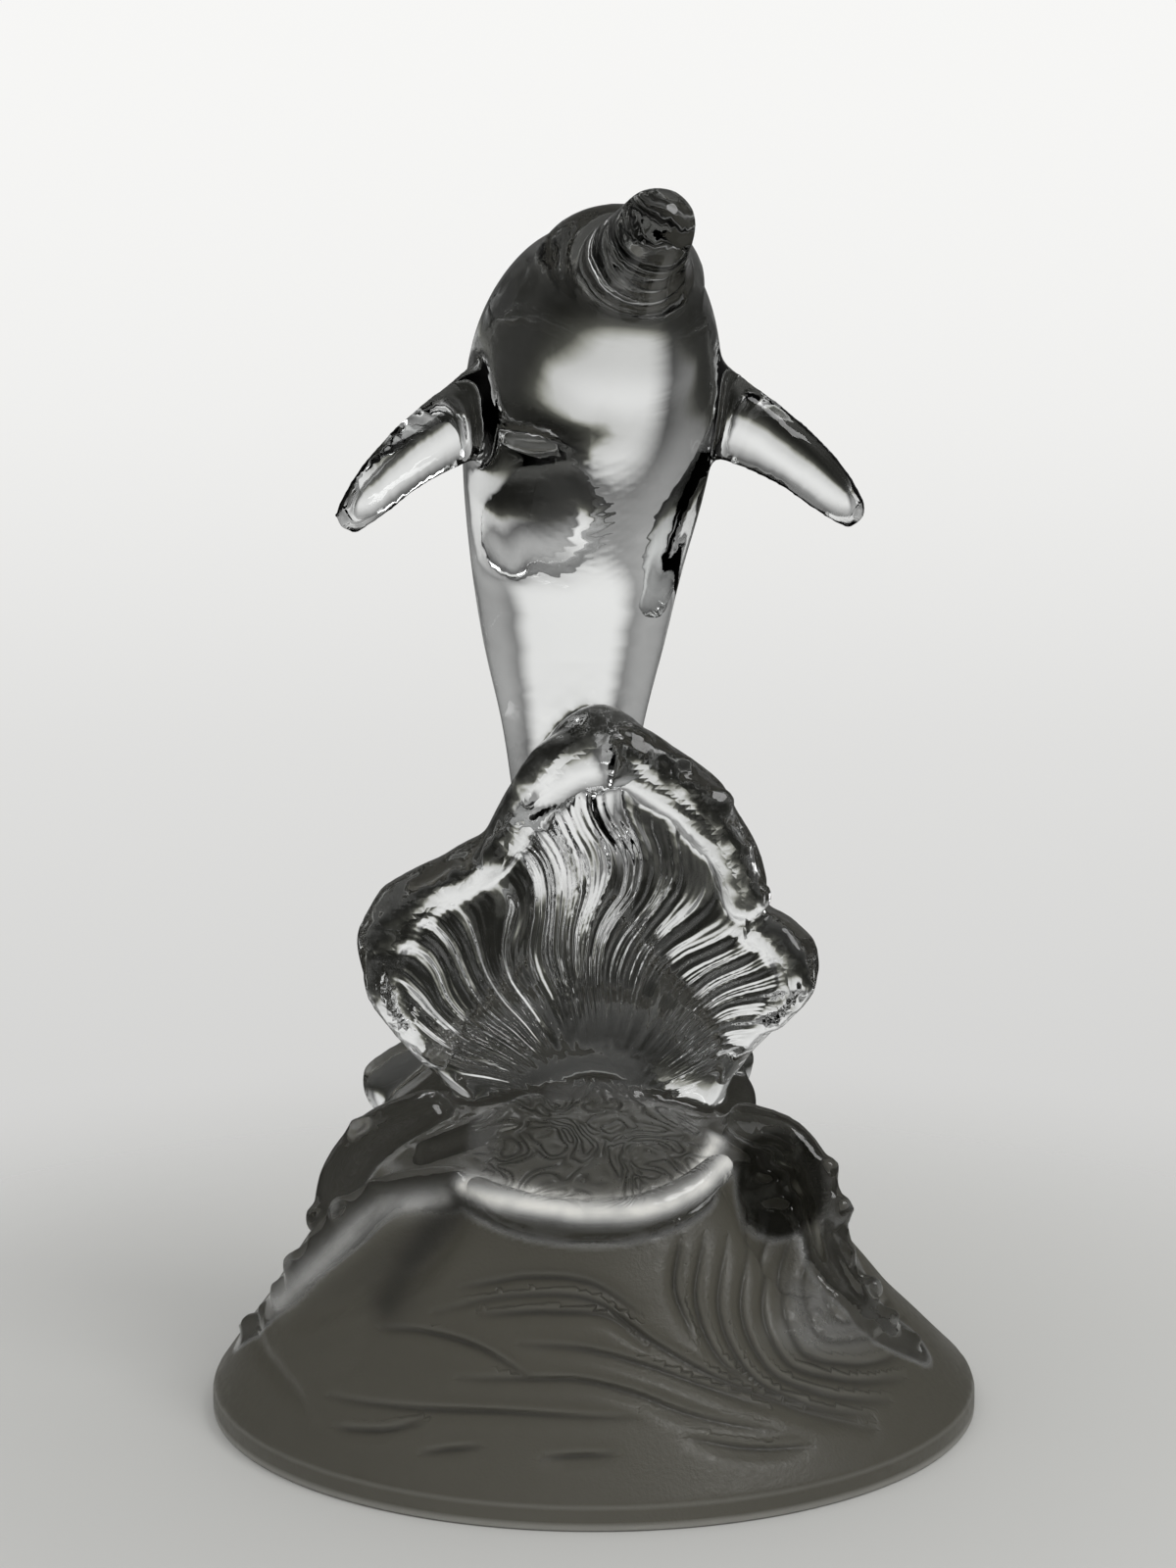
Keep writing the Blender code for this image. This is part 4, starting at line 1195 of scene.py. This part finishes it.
def glass_piece():
    mesh = fine_skin(dolphin_bodies() + wave_bodies() + base_bodies())
    evened(mesh, EVEN_ROUNDS)
    evened(mesh, DOLPHIN_ROUNDS, on_dolphin(points_of(mesh))[:, None])
    carve(mesh)
    mesh = flat_bottom(mesh)
    mesh.name = "dolphin_glass"
    add_marks(mesh)
    mesh.materials.clear()
    mesh.materials.append(glass_material())
    mesh.shade_smooth()
    calm_shading(mesh)
    obj = bpy.data.objects.new("dolphin_glass", mesh)
    bpy.context.scene.collection.objects.link(obj)
    return obj


def add_camera():
    data = bpy.data.cameras.new("camera")
    data.lens = CAMERA_LENS
    data.sensor_width = 36
    data.clip_start = CAMERA_NEAR
    camera = bpy.data.objects.new("camera", data)
    camera.location = CAMERA_AT
    camera.rotation_euler = (math.radians(90 - CAMERA_TILT), 0, 0)
    bpy.context.scene.collection.objects.link(camera)
    bpy.context.scene.camera = camera


def studio_tone(nodes, direction, height):
    """The studio as the glass sees it: four bright panels square to the object, weak ones between them."""
    across, ahead = nodes.maths("ABSOLUTE", direction["X"]), nodes.maths("ABSOLUTE", direction["Y"])
    level = nodes.maths("SQRT", nodes.maths("SUBTRACT", 1.0, nodes.times(direction["Z"], direction["Z"])))
    level = nodes.maths("MAXIMUM", level, 0.001)
    straight = nodes.maths("MAXIMUM", across, ahead)
    slanting = nodes.times(nodes.maths("ADD", across, ahead), math.sqrt(0.5))
    square = nodes.mapped(nodes.maths("DIVIDE", straight, level), SQUARE_PANELS, "SMOOTHSTEP")
    between = nodes.mapped(nodes.maths("DIVIDE", slanting, level), DIAGONAL_PANELS, "SMOOTHSTEP")
    dim, bright = nodes.ramp(height, BESIDE, LOW_TINT), nodes.ramp(height, THROUGH, LOW_TINT)
    return nodes.blend(nodes.maths("MAXIMUM", square, between), dim, bright)


def studio_world():
    """A pale backdrop for the camera. For the glass, a studio that is bright behind it and dark low down."""
    world = bpy.data.worlds.new("studio")
    bpy.context.scene.world = world
    nodes = Nodes(world)
    world.node_tree.nodes.clear()
    direction = nodes.add("SeparateXYZ", {"Vector": nodes.place("Generated")}).outputs
    height = nodes.maths("MULTIPLY_ADD", direction["Z"], 0.5, 0.5)
    tone = studio_tone(nodes, direction, height)
    plain, mirrored = nodes.background((1, 1, 1, 1), AMBIENT), nodes.background(tone, MIRRORED)
    backdrop = nodes.background(nodes.ramp(height, BACKDROP, HIGH_TINT), 1.0)
    ray = nodes.add("LightPath").outputs
    # A ray that leaves the glass is both glossy and of transmission, so transmission is mixed in after
    shown = nodes.either(ray["Is Glossy Ray"], plain, mirrored)
    shown = nodes.either(ray["Is Transmission Ray"], shown, nodes.background(tone, 1.0))
    shown = nodes.either(ray["Is Camera Ray"], shown, backdrop)
    nodes.add("OutputWorld", {"Surface": shown})


def floor_material():
    """Pale, melting into the backdrop with its distance. The glass sees less of it than the camera does."""
    material = bpy.data.materials.new("floor")
    nodes = Nodes(material)
    far = nodes.add("VectorMath", {0: nodes.place("Object")}, operation="LENGTH").outputs["Value"]
    fade = nodes.mapped(far, (*FLOOR_FADE, 1.0, 0.0), "SMOOTHSTEP")
    through = nodes.add("LightPath").outputs["Is Transmission Ray"]
    less = nodes.maths("MULTIPLY_ADD", through, FLOOR_SEEN_THROUGH - 1, 1.0)
    nodes.look({
        "Base Color": FLOOR_COLOUR,
        "Roughness": FLOOR_ROUGHNESS,
        "Specular IOR Level": FLOOR_SHINE,
        "Alpha": nodes.times(fade, less),
    })
    return material


def floor():
    """A round floor that takes the object's shadow."""
    bm = bmesh.new()
    bmesh.ops.create_circle(bm, cap_ends=True, segments=96, radius=FLOOR_SIZE / 2)
    mesh = bpy.data.meshes.new("floor")
    bm.to_mesh(mesh)
    bm.free()
    mesh.materials.append(floor_material())
    obj = bpy.data.objects.new("floor", mesh)
    obj.location.z = -FLOOR_DROP
    bpy.context.scene.collection.objects.link(obj)


def lamp():
    data = bpy.data.lights.new("key", "AREA")
    data.shape = "DISK"
    data.size = LAMP_SIZE
    data.energy = LAMP_POWER
    obj = bpy.data.objects.new("key", data)
    obj.location = LAMP_AT
    obj.rotation_euler = (Vector(LAMP_AIM) - Vector(LAMP_AT)).to_track_quat("-Z", "Y").to_euler()
    bpy.context.scene.collection.objects.link(obj)


bpy.context.scene.view_settings.view_transform = "Standard"
piece = glass_piece()
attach(piece, BODY_NAME)
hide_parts(NODE)
floor()
add_camera()
studio_world()
lamp()
